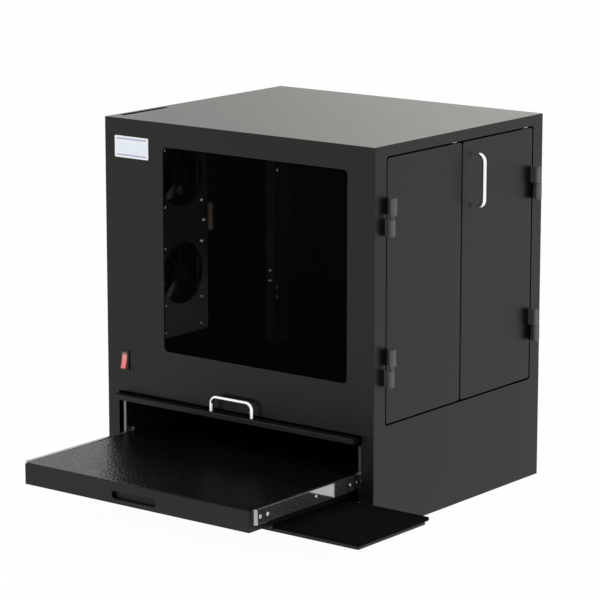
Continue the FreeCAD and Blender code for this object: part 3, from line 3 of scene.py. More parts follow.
import bmesh
import bpy
import numpy as np
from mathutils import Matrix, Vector


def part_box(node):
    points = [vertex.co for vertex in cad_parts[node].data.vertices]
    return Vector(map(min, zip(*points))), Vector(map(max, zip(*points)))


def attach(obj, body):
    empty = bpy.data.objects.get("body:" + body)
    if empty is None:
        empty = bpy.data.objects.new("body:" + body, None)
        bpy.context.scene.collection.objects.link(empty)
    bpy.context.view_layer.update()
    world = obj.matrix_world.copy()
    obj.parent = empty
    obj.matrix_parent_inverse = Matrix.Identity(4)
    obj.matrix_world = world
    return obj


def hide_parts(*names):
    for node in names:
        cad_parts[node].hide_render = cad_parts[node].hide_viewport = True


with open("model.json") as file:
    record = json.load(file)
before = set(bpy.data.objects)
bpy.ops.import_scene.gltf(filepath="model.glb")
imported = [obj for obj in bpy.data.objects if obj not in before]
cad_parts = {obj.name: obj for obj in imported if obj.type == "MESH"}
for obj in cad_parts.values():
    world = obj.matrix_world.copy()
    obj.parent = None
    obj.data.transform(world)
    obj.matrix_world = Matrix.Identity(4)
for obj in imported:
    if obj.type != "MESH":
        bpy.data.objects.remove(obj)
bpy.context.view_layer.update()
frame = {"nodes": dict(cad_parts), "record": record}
scene = bpy.context.scene

# Shapes are worked out in millimetres and written into the meshes in metres.
MM = 0.001
FULL_TURN = 2 * np.pi
QUARTER_TURN = np.pi / 2

# Decimals of a millimetre to which corners count as one point.
CAD_DECIMALS = 3
PIECE_DECIMALS = 4

SLOT_OF = {row["node"]: row["material_slot"] for row in frame["record"]["subparts"]}

# World direction of local X, Y and Z when local Z is turned to the key.
TURN = {
    "+X": [[0, 1, 0], [0, 0, 1], [1, 0, 0]],
    "-X": [[0, 0, 1], [0, 1, 0], [-1, 0, 0]],
    "+Y": [[0, 0, 1], [1, 0, 0], [0, 1, 0]],
    "-Y": [[1, 0, 0], [0, 0, 1], [0, -1, 0]],
    "+Z": [[1, 0, 0], [0, 1, 0], [0, 0, 1]],
    "-Z": [[0, 1, 0], [1, 0, 0], [0, 0, -1]],
}


# Places taken from the CAD

def extent(node_name):
    """Lowest and highest corner of a CAD node."""
    low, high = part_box(node_name)
    return np.array(low) / MM, np.array(high) / MM


def solids_of(node_name):
    """Boxes of a node's separate solids.

    Every corner takes the lowest label among its triangles, until no label changes.
    """
    mesh = frame["nodes"][node_name].data
    mesh.calc_loop_triangles()
    corners = np.empty(len(mesh.vertices) * 3)
    mesh.vertices.foreach_get("co", corners)
    triangles = np.empty(len(mesh.loop_triangles) * 3, dtype=np.int64)
    mesh.loop_triangles.foreach_get("vertices", triangles)
    corners = np.round(corners.reshape(-1, 3) / MM, CAD_DECIMALS)
    points, merged = np.unique(corners, axis=0, return_inverse=True)
    triangles = merged.reshape(-1)[triangles].reshape(-1, 3)
    label = np.arange(len(points))
    settled = False
    while not settled:
        lower = label.copy()
        np.minimum.at(lower, triangles.ravel(), np.repeat(label[triangles].min(axis=1), 3))
        lower = lower[lower]
        settled = bool((lower == label).all())
        label = lower
    solids = [points[label == key] for key in np.unique(label)]
    return [(solid.min(axis=0), solid.max(axis=0)) for solid in solids]


# Surfaces

SHARPEST_CORNER = 0.02


def stacked(*parts):
    """Grid of points from its X, Y and Z parts."""
    return np.stack(np.broadcast_arrays(*parts), axis=-1).astype(float)


def turned(profile, sides):
    """Surface of revolution: each (radius, height) of the profile is turned about local Z."""
    radius, height = np.array(profile, dtype=float).T[:, :, None]
    angle = np.linspace(0, FULL_TURN, sides + 1)
    return stacked(radius * np.cos(angle), radius * np.sin(angle), height)


def rounded(half_x, half_y, corner, steps=6):
    """Closed rounded rectangle: four quarter circles about the corners' middles."""
    angle = (np.arange(4)[:, None] * QUARTER_TURN + np.linspace(0, QUARTER_TURN, steps + 1)).ravel()
    side_x, side_y = np.repeat([[1, -1, -1, 1], [1, 1, -1, -1]], steps + 1, axis=1)
    x = side_x * (half_x - corner) + corner * np.cos(angle)
    y = side_y * (half_y - corner) + corner * np.sin(angle)
    line = np.stack([x, y], axis=-1)
    return np.vstack([line, line[:1]])


def at_heights(rings, heights):
    """Stack of flat closed lines, each lifted to its own height."""
    rings = np.array(rings)
    lifted = np.broadcast_to(np.array(heights, dtype=float)[:, None, None], rings.shape[:2] + (1,))
    return np.concatenate([rings, lifted], axis=-1)


def capped(grid):
    """Grid with its first and last ring drawn together to their middles."""
    ends = grid[[0, -1]].copy()
    ends[:] = ends[:, :-1].mean(axis=1, keepdims=True)
    return np.concatenate([ends[:1], grid, ends[1:]])


def framed(half_x, half_y, corner, profile):
    """Profile of (inset, height) carried round a rounded rectangle; the inset shrinks the corner too."""
    insets, heights = np.array(profile, dtype=float).T
    corners = np.maximum(corner - insets, SHARPEST_CORNER)
    rings = [rounded(half_x - inset, half_y - inset, radius) for inset, radius in zip(insets, corners)]
    return at_heights(rings, heights)


def lofted(line, profile):
    """Closed line carried through (inset, height) steps: each moves it inwards along its own normals."""
    insets, heights = np.array(profile, dtype=float).T
    ring = line[:-1]
    chord = np.roll(ring, -1, axis=0) - np.roll(ring, 1, axis=0)
    outward = np.stack([chord[:, 1], -chord[:, 0]], axis=-1)
    outward /= np.linalg.norm(outward, axis=1, keepdims=True)
    outward = np.vstack([outward, outward[:1]])
    return capped(at_heights(line - insets[:, None, None] * outward, heights))


def soft_edges(height, radius):
    """Profile of a slab with a quarter round along its lower and upper edge."""
    angle = np.linspace(0, QUARTER_TURN, 5)
    inset, rise = radius * (1 - np.sin(angle)), radius * (1 - np.cos(angle))
    return np.vstack([np.stack([inset, rise], -1), np.stack([inset, height - rise], -1)[::-1]])


def seated(grid, axis, low, high):
    """Copy of a grid with local Z turned to an axis, stood in a box on the middle of the side behind it."""
    along = "XYZ".index(axis[1])
    place = (low + high) / 2
    place[along] = low[along] if axis[0] == "+" else high[along]
    return grid @ np.array(TURN[axis], dtype=float) + place


def eased_block(low, high, corner, ease):
    """Block that fills a box: a rounded rectangle carried up, with soft lower and upper edges."""
    half = (high - low) / 2
    block = capped(framed(half[0], half[1], corner, soft_edges(high[2] - low[2], ease)))
    return seated(block, "+Z", low, high)


def closed_below(top, low, high):
    """A top sheet with its sides and flat underside: the rim falls to the foot and runs to the middle."""
    rim = np.concatenate([top[:, 0], top[-1, 1:], top[-2::-1, -1], top[0, -2::-1]])
    foot = rim.copy()
    foot[:, 2] = low[2]
    middle = np.broadcast_to((low + high) / 2 * [1, 1, 0] + [0, 0, low[2]], foot.shape)
    return [top, np.stack([rim, foot, middle])]


def along_path(path):
    """Unit directions of a flat path at its points."""
    way = np.gradient(path, axis=0)
    return way / np.linalg.norm(way, axis=1, keepdims=True)


def mesh_of(name, grids, crease):
    """Mesh from grids of points: quads join neighbours, and edges sharper than the crease stay sharp.

    Equal points are merged, and quads that this folds become triangles.
    """
    points, quads, start = [], [], 0
    for grid in grids:
        number = np.arange(start, start + grid.shape[0] * grid.shape[1]).reshape(grid.shape[:2])
        cells = (number[:-1, :-1], number[1:, :-1], number[1:, 1:], number[:-1, 1:])
        quads.append(np.stack(cells, axis=-1).reshape(-1, 4))
        points.append(grid.reshape(-1, 3))
        start += number.size
    points, quads = np.concatenate(points), np.concatenate(quads)
    places = np.round(points, PIECE_DECIMALS)
    _, first, merged = np.unique(places, axis=0, return_index=True, return_inverse=True)
    quads = merged.reshape(-1)[quads]
    folded = quads == np.roll(quads, -1, axis=1)
    folds = folded.sum(axis=1)
    whole = quads[folds == 0]
    keep = (folded[folds == 1].argmax(axis=1)[:, None] + [1, 2, 3]) % 4
    triangles = np.take_along_axis(quads[folds == 1], keep, axis=1)
    mesh = bpy.data.meshes.new(name)
    mesh.from_pydata((points[first] * MM).tolist(), [], whole.tolist() + triangles.tolist())
    shell = bmesh.new()
    shell.from_mesh(mesh)
    bmesh.ops.recalc_face_normals(shell, faces=shell.faces)
    shell.to_mesh(mesh)
    shell.free()
    mesh.polygons.foreach_set("use_smooth", np.ones(len(mesh.polygons), dtype=bool))
    mesh.set_sharp_from_angle(angle=np.radians(crease))
    return mesh


def make(name, grids, body, stands_for, finish=None, slot=None, crease=32):
    """Piece in place of a CAD node, riding on a body; slot and finish are the node's where none is given."""
    slot = slot or SLOT_OF[stands_for]
    mesh = mesh_of(name, grids, crease)
    mesh.materials.append(finish or FINISH[slot])
    piece = bpy.data.objects.new(name, mesh)
    scene.collection.objects.link(piece)
    even = piece.modifiers.new("flat_faces_stay_flat", "WEIGHTED_NORMAL")
    even.keep_sharp = True
    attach(piece, body)
    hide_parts(stands_for)


# Nodes of the finishes

# Span that holds most values of a noise.
NOISE_LOW, NOISE_HIGH = 0.3, 0.7


def blank(name, **values):
    """Material with a Principled shader; the values given are the same all over the surface."""
    material = bpy.data.materials.new(name)
    material.use_nodes = True
    shader = material.node_tree.nodes["Principled BSDF"]
    for socket, value in values.items():
        shader.inputs[socket.replace("_", " ")].default_value = value
    return material, material.node_tree, shader


def feed(tree, shader, **outputs):
    """Links outputs of nodes to the shader's sockets."""
    for socket, output in outputs.items():
        tree.links.new(output, shader.inputs[socket.replace("_", " ")])


def node(tree, kind, inputs=(), **settings):
    """Node with its settings; inputs are (socket, value or output to link)."""
    made = tree.nodes.new(f"ShaderNode{kind}")
    for key, value in settings.items():
        setattr(made, key, value)
    for socket, value in inputs:
        if isinstance(value, bpy.types.NodeSocket):
            tree.links.new(value, made.inputs[socket])
        else:
            made.inputs[socket].default_value = value
    return made


def joined(tree, operation, one, two):
    """Two numbers joined by an operation."""
    return node(tree, "Math", [(0, one), (1, two)], operation=operation).outputs[0]


def blended(tree, factor, one, two, **settings):
    """Colour between two others, by a factor from 0 to 1."""
    inputs = [(0, factor), (6, one), (7, two)]
    return node(tree, "Mix", inputs, data_type="RGBA", **settings).outputs[2]


def place_in(tree, scale=(1, 1, 1), location=(0, 0, 0)):
    """Object coordinates, stretched and moved."""
    where = node(tree, "TexCoord").outputs["Object"]
    return node(tree, "Mapping", [("Vector", where), ("Scale", scale), ("Location", location)]).outputs[0]


def face_place(tree, low, high):
    """Place on an upright face, from 0 to 1 across its width and up its height."""
    size = (high - low) * MM
    scale = (1 / size[0], 1.0, 1 / size[2])
    offset = (-low[0] * MM / size[0], 0.0, -low[2] * MM / size[2])
    across, _, upwards = node(tree, "SeparateXYZ", [(0, place_in(tree, scale, offset))]).outputs
    return across, upwards


def mottle(tree, where, scale, detail, rough=0.55):
    """Even noise from 0 to 1."""
    inputs = [("Vector", where), ("Scale", scale), ("Detail", detail), ("Roughness", rough)]
    return node(tree, "TexNoise", inputs).outputs[0]


def stretched(tree, stretch, detail=4.0, rough=0.55):
    """Noise with its own count of cells to the metre along X, Y and Z."""
    return mottle(tree, place_in(tree, stretch), 1.0, detail, rough)


def flecks(tree, where, scale, output, feature="F1"):
    """Cells round scattered points."""
    return node(tree, "TexVoronoi", [("Vector", where), ("Scale", scale)], feature=feature).outputs[output]


def shade(tree, factor, stops, interpolation="LINEAR"):
    """Colours along a factor; stops are (position, colour)."""
    made = node(tree, "ValToRGB", [(0, factor)])
    ramp = made.color_ramp
    ramp.interpolation = interpolation
    while len(ramp.elements) < len(stops):
        ramp.elements.new(1.0)
    for element, (position, colour) in zip(ramp.elements, stops):
        element.position = position
        element.color = (*colour, 1.0)
    return made.outputs[0]


def two_tone(tree, factor, dark, light, start=NOISE_LOW, end=NOISE_HIGH):
    """Colour from dark to light as a noise goes from start to end."""
    return shade(tree, factor, [(start, dark), (end, light)])


def ranged(tree, factor, low, high, start=NOISE_LOW, end=NOISE_HIGH):
    """A factor between start and end, spread from low to high."""
    inputs = [(0, factor), (1, start), (2, end), (3, low), (4, high)]
    return node(tree, "MapRange", inputs).outputs[0]


def toned(tree, shader, factor, dark, light, roughness, start=NOISE_LOW, end=NOISE_HIGH):
    """Colour and roughness that both follow one noise."""
    feed(tree, shader, Base_Color=two_tone(tree, factor, dark, light, start, end),
         Roughness=ranged(tree, factor, *roughness))


def relief(tree, shader, height, strength, distance):
    """Bump from a height."""
    made = node(tree, "Bump", [("Height", height), ("Strength", strength), ("Distance", distance)])
    feed(tree, shader, Normal=made.outputs[0])


def grey(value, tint=(1, 1, 1)):
    """Colour of one value in all three parts, each times its part of the tint."""
    return tuple(value * part for part in tint)


# Finishes

BLACK, WHITE = grey(0.0), grey(1.0)

# Coats and mouldings: patches and grain are counted in noise cells to the metre, rises are in metres.
PATCH_SCALE, PATCH_DETAIL = 9.0, 4.0
GRAIN_DETAIL, GRAIN_RISE = 2.0, 0.0002
POWDER_GRAIN, POWDER_DEPTH = 1300.0, 0.05
GREENISH_GLOSS = (0.985, 1.0, 0.94, 1.0)

# Plated and rolled metal: noise cells to the metre along X, Y and Z.
DRAWN_ALONG_Y = (260, 12, 260)
LINE_ROUGHNESS, LINE_RISE = 0.6, 0.0001
SPANGLE_SHARE = 0.55

# Height above the duct's foot over which the painted light on its coat fades to painted shade.
DUCT_PAINTED_LIGHT_HEIGHT = 200.0


def coat_skin(tree, shader, where, grain, depth):
    """Fine even grain of a coat; its patches are handed back."""
    relief(tree, shader, mottle(tree, where, grain, GRAIN_DETAIL), depth, GRAIN_RISE)
    return mottle(tree, where, PATCH_SCALE, PATCH_DETAIL)


def coated(name, dark, light, roughness, grain=1600.0, depth=0.1, **values):
    """Powder coat or moulded skin: patchy colour and gloss over a fine even grain."""
    material, tree, shader = blank(name, **values)
    patches = coat_skin(tree, shader, place_in(tree), grain, depth)
    toned(tree, shader, patches, dark, light, roughness)
    return material


def black_coat(name, roughness):
    """Black powder coat of the sheets."""
    return coated(name, grey(0.0026), grey(0.0036), roughness, POWDER_GRAIN, POWDER_DEPTH,
                  IOR=1.36, Specular_Tint=GREENISH_GLOSS)


def duct_coat(foot):
    """Grey coat of the duct, patchy in gloss as the other coats are, with painted light: paler towards its
    foot and darker higher up.
    """
    material, tree, shader = blank("dark_grey_duct_coat_painted_light", IOR=1.4)
    where = place_in(tree)
    patches = coat_skin(tree, shader, where, POWDER_GRAIN, POWDER_DEPTH)
    height = node(tree, "SeparateXYZ", [(0, where)]).outputs[2]
    rise = ranged(tree, height, 0.0, 1.0, foot * MM, (foot + DUCT_PAINTED_LIGHT_HEIGHT) * MM)
    # Painted light and shade: the base colour is pale at the foot and darkens higher up.
    painted_light_tones = [(0.15, grey(0.108)), (0.4, grey(0.085)), (0.65, grey(0.05)), (0.9, grey(0.025))]
    feed(tree, shader, Base_Color=shade(tree, rise, painted_light_tones), Roughness=ranged(tree, patches, 0.3, 0.38))
    return material


def plated(name, dark, light, roughness, stretch, cells=0.0, depth=0.05, metal=1.0):
    """Plated or rolled metal: fine drawn lines, and spangle where cells are given."""
    material, tree, shader = blank(name, Metallic=metal)
    lines = stretched(tree, stretch, rough=LINE_ROUGHNESS)
    tone = lines
    if cells:
        spangle = flecks(tree, place_in(tree), cells, "Color")
        inputs = [(0, SPANGLE_SHARE), (2, lines), (3, spangle)]
        tone = node(tree, "Mix", inputs, data_type="FLOAT").outputs[0]
    toned(tree, shader, tone, dark, light, roughness, 0.25, 0.75)
    relief(tree, shader, lines, depth, LINE_RISE)
    return material


def rolled(name, dark, light, roughness):
    """Rolled plate of the slides and their brackets, a little less than all metal."""
    return plated(name, dark, light, roughness, DRAWN_ALONG_Y, depth=0.02, metal=0.92)


def clear_pane():
    """Clear sheet: little colour of its own, faint cleaning streaks in its gloss."""
    material, tree, shader = blank("clear_window_sheet", Alpha=0.03, IOR=1.3)
    streaks = stretched(tree, (6, 6, 22), detail=3.0)
    toned(tree, shader, streaks, grey(0.002), grey(0.004), (0.02, 0.07))
    return material


def lens_with_painted_light(low, high):
    """Red lens with painted light: its glow is palest high on its face, with painted shade along the top and
    deep red painted shade at its sides.
    """
    material, tree, shader = blank(
        "red_lens_painted_light", Coat_Weight=0.3, Coat_Roughness=0.1, Emission_Strength=1.0, IOR=1.49)
    across, upwards = face_place(tree, low, high)
    cloud = mottle(tree, place_in(tree), 140.0, 3.0)
    # The sides get a deep red base colour and only a faint glow: painted shade.
    inside = shade(tree, across, [(0.15, BLACK), (0.29, WHITE), (0.84, WHITE), (0.96, BLACK)])
    # Glow up the face: painted light, palest high on the face and painted shade at its top edge.
    lamp = shade(tree, upwards, [
        (0.1, (0.30, 0.10, 0.085)),
        (0.5, (0.38, 0.14, 0.135)),
        (0.78, (0.36, 0.21, 0.2)),
        (0.92, (0.13, 0.095, 0.075)),
        (1.0, (0.05, 0.04, 0.035)),
    ])
    shadow = two_tone(tree, cloud, (0.012, 0.0, 0.0), (0.03, 0.001, 0.001), 0.25, 0.75)
    glow = blended(tree, inside, shadow, lamp)
    skin = two_tone(tree, cloud, (0.40, 0.05, 0.05), (0.46, 0.07, 0.065))
    # Painted shade: the face's base colour darkens along its top edge.
    painted_top_shade = shade(tree, upwards, [(0.78, WHITE), (0.92, grey(0.2))])
    skin = blended(tree, 1.0, painted_top_shade, skin, blend_type="MULTIPLY")
    painted_shade_red = (0.06, 0.003, 0.003, 1)
    feed(tree, shader, Base_Color=blended(tree, inside, painted_shade_red, skin), Emission_Color=glow,
         Roughness=ranged(tree, cloud, 0.18, 0.3))
    return material


def banded_plate(low, high):
    """Blank plate: white edge, and a pale band above and below a plain middle, by place on the plate."""
    material, tree, shader = blank("blank_banded_plate", IOR=1.45)
    across, upwards = face_place(tree, low, high)
    paper, band, middle = (0.86, 0.87, 0.90), (0.46, 0.48, 0.62), (0.78, 0.83, 0.90)
    lower = [(0.0, paper), (0.08, band), (0.17, paper)]
    upper = [(0.24, middle), (0.74, paper), (0.83, band), (0.92, paper)]
    bands = shade(tree, upwards, lower + upper, "CONSTANT")
    inside = shade(tree, across, [(0.0, BLACK), (0.055, WHITE), (0.945, BLACK)], "CONSTANT")
    faded = mottle(tree, place_in(tree), 120.0, 2.0)
    edge = two_tone(tree, faded, grey(0.84), (0.88, 0.89, 0.92))
    feed(tree, shader, Base_Color=blended(tree, inside, edge, bands),
         Roughness=ranged(tree, faded, 0.28, 0.4))
    return material


def grained_sheet():
    """Pressed sheet: wrinkles rise with the distance from cell edges, under patches of colour and gloss."""
    material, tree, shader = blank("grained_mat_sheet", IOR=1.34)
    where = place_in(tree)
    wrinkles = flecks(tree, where, 120.0, "Distance", "DISTANCE_TO_EDGE")
    patches = mottle(tree, where, 60.0, 4.0)
    toned(tree, shader, patches, grey(0.0016), grey(0.003), (0.27, 0.34))
    relief(tree, shader, wrinkles, 0.8, 0.0011)
    return material


def fibrous(name, dark, light):
    """Open filter fibres: two crossed sets of stretched noise."""
    material, tree, shader = blank(name, Sheen_Weight=0.3)
    one, two = stretched(tree, (900, 200, 300)), stretched(tree, (200, 900, 300))
    fibres = joined(tree, "MAXIMUM", one, two)
    toned(tree, shader, fibres, dark, light, (0.8, 0.95), 0.4, 0.75)
    relief(tree, shader, fibres, 0.8, 0.0008)
    return material


# By material slot.
FINISH = {
    "black_steel": black_coat("black_powder_coat", (0.34, 0.352)),
    "clear_pane": clear_pane(),
    "black_rubber": coated(
        "black_rubber", grey(0.006), grey(0.011), (0.55, 0.7), grain=900.0, depth=0.2, IOR=1.4),
    "bright_chrome": plated(
        "bright_chrome_rod", grey(0.92), grey(0.97), (0.05, 0.1), stretch=(900, 900, 900), depth=0.01),
    "zinc_steel": plated("bright_zinc_plate", grey(0.6), (0.74, 0.75, 0.77), (0.1, 0.18), DRAWN_ALONG_Y),
    "galvanised_steel": plated(
        "galvanised_sheet", grey(0.5), (0.64, 0.65, 0.67), (0.05, 0.09), stretch=(90, 90, 90),
        cells=160.0, depth=0.02),
    "hinge_steel": coated(
        "dark_grey_hinge_coat", grey(0.07), grey(0.085), (0.36, 0.46), grain=1100.0, depth=0.08, IOR=1.45),
    "red_lens": lens_with_painted_light(*extent("switch_rocker")),
    "black_plastic": coated("black_moulded_plastic", grey(0.006), grey(0.01), (0.38, 0.5), IOR=1.45),
    "white_plate": banded_plate(*extent("name_plate")),
    "textured_mat": grained_sheet(),
    "tray_board": coated(
        "matt_tray_board", grey(0.002), grey(0.0035), (0.78, 0.9), grain=1500.0, depth=0.2, IOR=1.11),
    "white_nylon": coated(
        "white_nylon", grey(0.66), (0.74, 0.74, 0.71), (0.4, 0.5), grain=800.0, depth=0.08, IOR=1.5),
    "filter_mat": fibrous("grey_filter_fibre", grey(0.05), grey(0.24)),
    "fuse_ceramic": coated(
        "tan_fuse_ceramic", (0.22, 0.145, 0.075), (0.29, 0.2, 0.11), (0.3, 0.42), grain=700.0),
    "fuse_metal": coated(
        "dull_tinned_cap", (0.17, 0.18, 0.155), (0.22, 0.23, 0.2), (0.4, 0.5), grain=900.0),
    "grey_plastic": coated(
        "dark_grey_raceway", grey(0.02), grey(0.028), (0.42, 0.52), grain=1200.0, IOR=1.45),
}
SLIDE_PLATE = rolled("rolled_slide_plate", grey(0.37), grey(0.45), (0.05, 0.08))
# The same rolled steel as the slide plate, painted darker as shade; the brackets and the cabinet's and middle
# channels take it.
PLATE_IN_PAINTED_SHADE = rolled("bracket_plate_painted_shade", grey(0.16), grey(0.2), (0.06, 0.1))
FAN_PLASTIC = coated("near_black_fan_plastic", grey(0.002), grey(0.0036), (0.3, 0.4), IOR=1.36)

# Nodes whose finish differs from their slot's.
OWN_FINISH = {
    "top_panel": black_coat("smooth_black_powder_coat", (0.254, 0.266)),
    "fan_duct": duct_coat(extent("fan_duct")[0][2]),
    "tray_runners": FINISH["black_steel"],
    # The brackets take the rolled steel painted darker as shade.
    "left_slide_bracket": PLATE_IN_PAINTED_SHADE,
    "right_slide_bracket": PLATE_IN_PAINTED_SHADE,
    "drawer_pull_cup": coated("matt_pull_cup", grey(0.003), grey(0.005), (0.3, 0.4), IOR=1.29),
}
for name, item in frame["nodes"].items():
    item.data.materials.clear()
    item.data.materials.append(OWN_FINISH.get(name, FINISH[SLOT_OF[name]]))


# Fasteners

HEAD_RADIUS, HEAD_HEIGHT = 4.0, 2.4
SLIDE_HEAD_RADIUS, SLIDE_HEAD_HEIGHT = 3.4, 1.6
SHANK_RADIUS, SHANK_OVERLAP = 2.0, 0.4
THREAD_PITCH, THREAD_DEPTH, THREAD_STEPS = 0.8, 0.05, 4
NUT_RADIUS, NUT_HEIGHT, NUT_CHAMFER = 4.0, 2.4, 0.3
NUT_BELOW_END = 4.4

# Dome and cross recess of a pan head, as shares of its radius and height.
RING_SHARES = np.array([0, 0.1, 0.2, 0.3, 0.4, 0.5, 0.6, 0.72, 0.84, 0.94, 1.0])
DOME_FALL = 0.6
RECESS_REACH, RECESS_END_SLOPE = 0.6, 0.14
RECESS_HALF_WIDTH, RECESS_SIDE_SLOPE = 0.2, 0.1
RECESS_DEPTH = 0.5

# A panel's head is thinner than this along its own axis, and past this Y it is on the back panel.
THIN_HEAD = 3
BACK_PANEL_Y = 250


def pan_head(radius, height):
    """Domed head: its height falls with the fourth power of the radius, less a cross with sloping sides."""
    reach = radius * RING_SHARES[:, None]
    angle = np.linspace(0, FULL_TURN, 33)
    x, y = reach * np.cos(angle), reach * np.sin(angle)
    dome = height * (1 - DOME_FALL * (reach / radius) ** 4)

    def arm(along, across):
        """1 on the floor of one arm of the cross, falling to 0 over its slopes."""
        ends = (RECESS_REACH * radius - abs(along)) / (RECESS_END_SLOPE * radius)
        sides = (RECESS_HALF_WIDTH * radius - abs(across)) / (RECESS_SIDE_SLOPE * radius)
        return np.clip(ends, 0, 1) * np.clip(sides, 0, 1)

    head = stacked(x, y, dome - RECESS_DEPTH * height * np.maximum(arm(x, y), arm(y, x)))
    foot = head[[-1, -1]].copy()
    foot[..., 2] = 0
    foot[1, :, :2] = 0
    return np.concatenate([head, foot])


def thread(length):
    """Threaded shank: the radius swings with height as a sine, and both ends close on the axis."""
    height = np.linspace(0, length, int(length / THREAD_PITCH * THREAD_STEPS) + 1)
    ridges = SHANK_RADIUS * (1 - THREAD_DEPTH + THREAD_DEPTH * np.sin(FULL_TURN * height / THREAD_PITCH))
    return turned([(0, 0), *zip(ridges, height), (0, length)], 14)


def hex_nut():
    """Hexagon carried upwards with a small chamfer at both ends."""
    angle = np.linspace(0, FULL_TURN, 7)
    line = NUT_RADIUS * np.stack([np.cos(angle), np.sin(angle)], axis=-1)
    low, high = NUT_CHAMFER, NUT_HEIGHT - NUT_CHAMFER
    return lofted(line, [(NUT_CHAMFER, 0), (0, low), (0, high), (NUT_CHAMFER, NUT_HEIGHT)])


def screws(name, node_name, body, axis):
    """Pan heads on threaded shanks, one in each solid of the node; the heads face along the axis."""
    grids = []
    for low, high in solids_of(node_name):
        rise = (high - low)["XYZ".index(axis[1])] - HEAD_HEIGHT
        head = pan_head(HEAD_RADIUS, HEAD_HEIGHT) + [0, 0, rise]
        grids += [seated(part, axis, low, high) for part in (head, thread(rise + SHANK_OVERLAP))]
    make(name, grids, body, node_name, crease=50)


def panel_heads():
    """Pan heads on the sheets: thin along X, they face right, on the back they face back, others forwards."""
    heads = []
    for low, high in solids_of("panel_screws"):
        axis = "+X" if high[0] - low[0] < THIN_HEAD else "+Y" if low[1] > BACK_PANEL_Y else "-Y"
        heads.append(seated(pan_head(HEAD_RADIUS, HEAD_HEIGHT), axis, low, high))
    make("panel_pan_heads", heads, "cabinet", "panel_screws", crease=50)


def slide_heads():
    """Low pan heads on the drawer's slide members, facing away from the drawer."""
    head = pan_head(SLIDE_HEAD_RADIUS, SLIDE_HEAD_HEIGHT)
    heads = [seated(head, "+X" if low[0] > 0 else "-X", low, high) for low, high in solids_of("slide_screws")]
    make("slide_pan_heads", heads, "drawer", "slide_screws", crease=50)


def window_studs():
    """Threaded studs, each with a hexagon nut a little below its end."""
    grids = []
    for low, high in solids_of("window_studs"):
        length = high[1] - low[1]
        nut = hex_nut() + [0, 0, length - NUT_BELOW_END]
        grids += [seated(part, "+Y", low, high) for part in (thread(length), nut)]
    make("window_studs_and_nuts", grids, "cabinet", "window_studs", crease=40)


def fasteners():
    """All screws, heads, studs and nuts."""
    screws("fan_mounting_screws", "fan_screws", "cabinet", "+X")
    screws("door_handle_fixings", "door_handle_screws", "rear_leaf", "-X")
    screws("flap_handle_fixings", "flap_handle_screws", "flap", "-Z")
    panel_heads()
    slide_heads()
    window_studs()


# Handles

HANDLE_SPACING, HANDLE_REACH = 91.0, 27.0
HANDLE_BEND, HANDLE_RADIUS = 12.0, 3.9
FOOT_EASE, FOOT_LEG = 0.6, 1.4


def bow_rod():
    """Round rod carried along two legs, two quarter bends and a bar, in local X and Z; its feet are eased."""
    bend, half = HANDLE_BEND, HANDLE_SPACING / 2
    angle = np.linspace(0, QUARTER_TURN, 10)
    left_x = bend - half - bend * np.cos(angle)
    left_z = HANDLE_REACH - bend + bend * np.sin(angle)
    feet = np.array([[-half, 0.0], [-half, FOOT_EASE], [-half, FOOT_LEG]])
    path = np.vstack([feet, np.stack([left_x, left_z], axis=-1)])
    path = np.vstack([path, (path * [-1, 1])[::-1]])
    way = along_path(path)
    thick = np.full((len(path), 1), HANDLE_RADIUS)
    thick[[0, -1]] = HANDLE_RADIUS - FOOT_EASE
    turn = np.linspace(0, FULL_TURN, 25)
    x = path[:, :1] - way[:, 1:] * thick * np.cos(turn)
    z = path[:, 1:] + way[:, :1] * thick * np.cos(turn)
    return capped(stacked(x, thick * np.sin(turn), z))


def handles():
    """One rod for the flap, lying along X, and the same rod stood upright for the door."""
    rod = bow_rod()
    flap_rod = seated(rod, "+Z", *extent("flap_handle"))
    make("flap_bow_handle", [flap_rod], "flap", "flap_handle", crease=60)
    low, high = extent("door_handle")
    _, y, z = (low + high) / 2
    door_rod = rod[..., [2, 1, 0]] + [low[0], y, z]
    make("door_bow_handle", [door_rod], "rear_leaf", "door_handle", crease=60)


# Hinges

BARREL_RADIUS, BARREL_OUT = 5.4, 11.4
KNUCKLE_REACH, KNUCKLE_HEIGHT, KNUCKLE_SOFT = 8.6, 29.2, 3.4
STEM_START, STEM_THICK, STEM_OVERLAP, STEM_EASE = 2.7, 3.0, 0.6, 0.5
PIN_RADIUS, PIN_CHAMFER = 3.0, 0.6
COLLAR_RADIUS, COLLAR_RIM, COLLAR_EASE = 3.9, 3.6, 0.25
COLLAR_FOOT, COLLAR_BELOW_TOP = 18.0, 18.2


def hinge_knuckle():
    """Hinge block: a half round about the pin that runs on into a blunt end, carried up with eased ends.

    Local X runs from the pin along the block, local Y out from the sheet.
    """
    bow = np.linspace(QUARTER_TURN, 3 * QUARTER_TURN, 19)
    ease = np.linspace(0, QUARTER_TURN, 9)
    radius, out, soft, height = BARREL_RADIUS, BARREL_OUT, KNUCKLE_SOFT, KNUCKLE_HEIGHT
    end, top, bottom = KNUCKLE_REACH - soft, out + radius - soft, out - radius + soft
    upper = np.stack([end + soft * np.cos(ease), top + soft * np.sin(ease)], axis=-1)
    barrel = np.stack([radius * np.cos(bow), out + radius * np.sin(bow)], axis=-1)
    lower = np.stack([end + soft * np.sin(ease), bottom - soft * np.cos(ease)], axis=-1)
    line = np.vstack([upper, barrel, lower, upper[:1]])
    eased_foot = [(0.7, 0), (0.2, 0.2), (0, 0.7)]
    eased_top = [(inset, height - rise) for inset, rise in eased_foot[::-1]]
    return lofted(line, eased_foot + eased_top)


def hinge_stem():
    """Flat stem under the block, a rounded rectangle carried up with eased ends."""
    out = BARREL_OUT - BARREL_RADIUS + STEM_OVERLAP
    section = rounded(STEM_THICK / 2, out / 2, STEM_EASE, 3)
    return lofted(section + [STEM_START + STEM_THICK / 2, out / 2], soft_edges(KNUCKLE_HEIGHT, STEM_EASE))


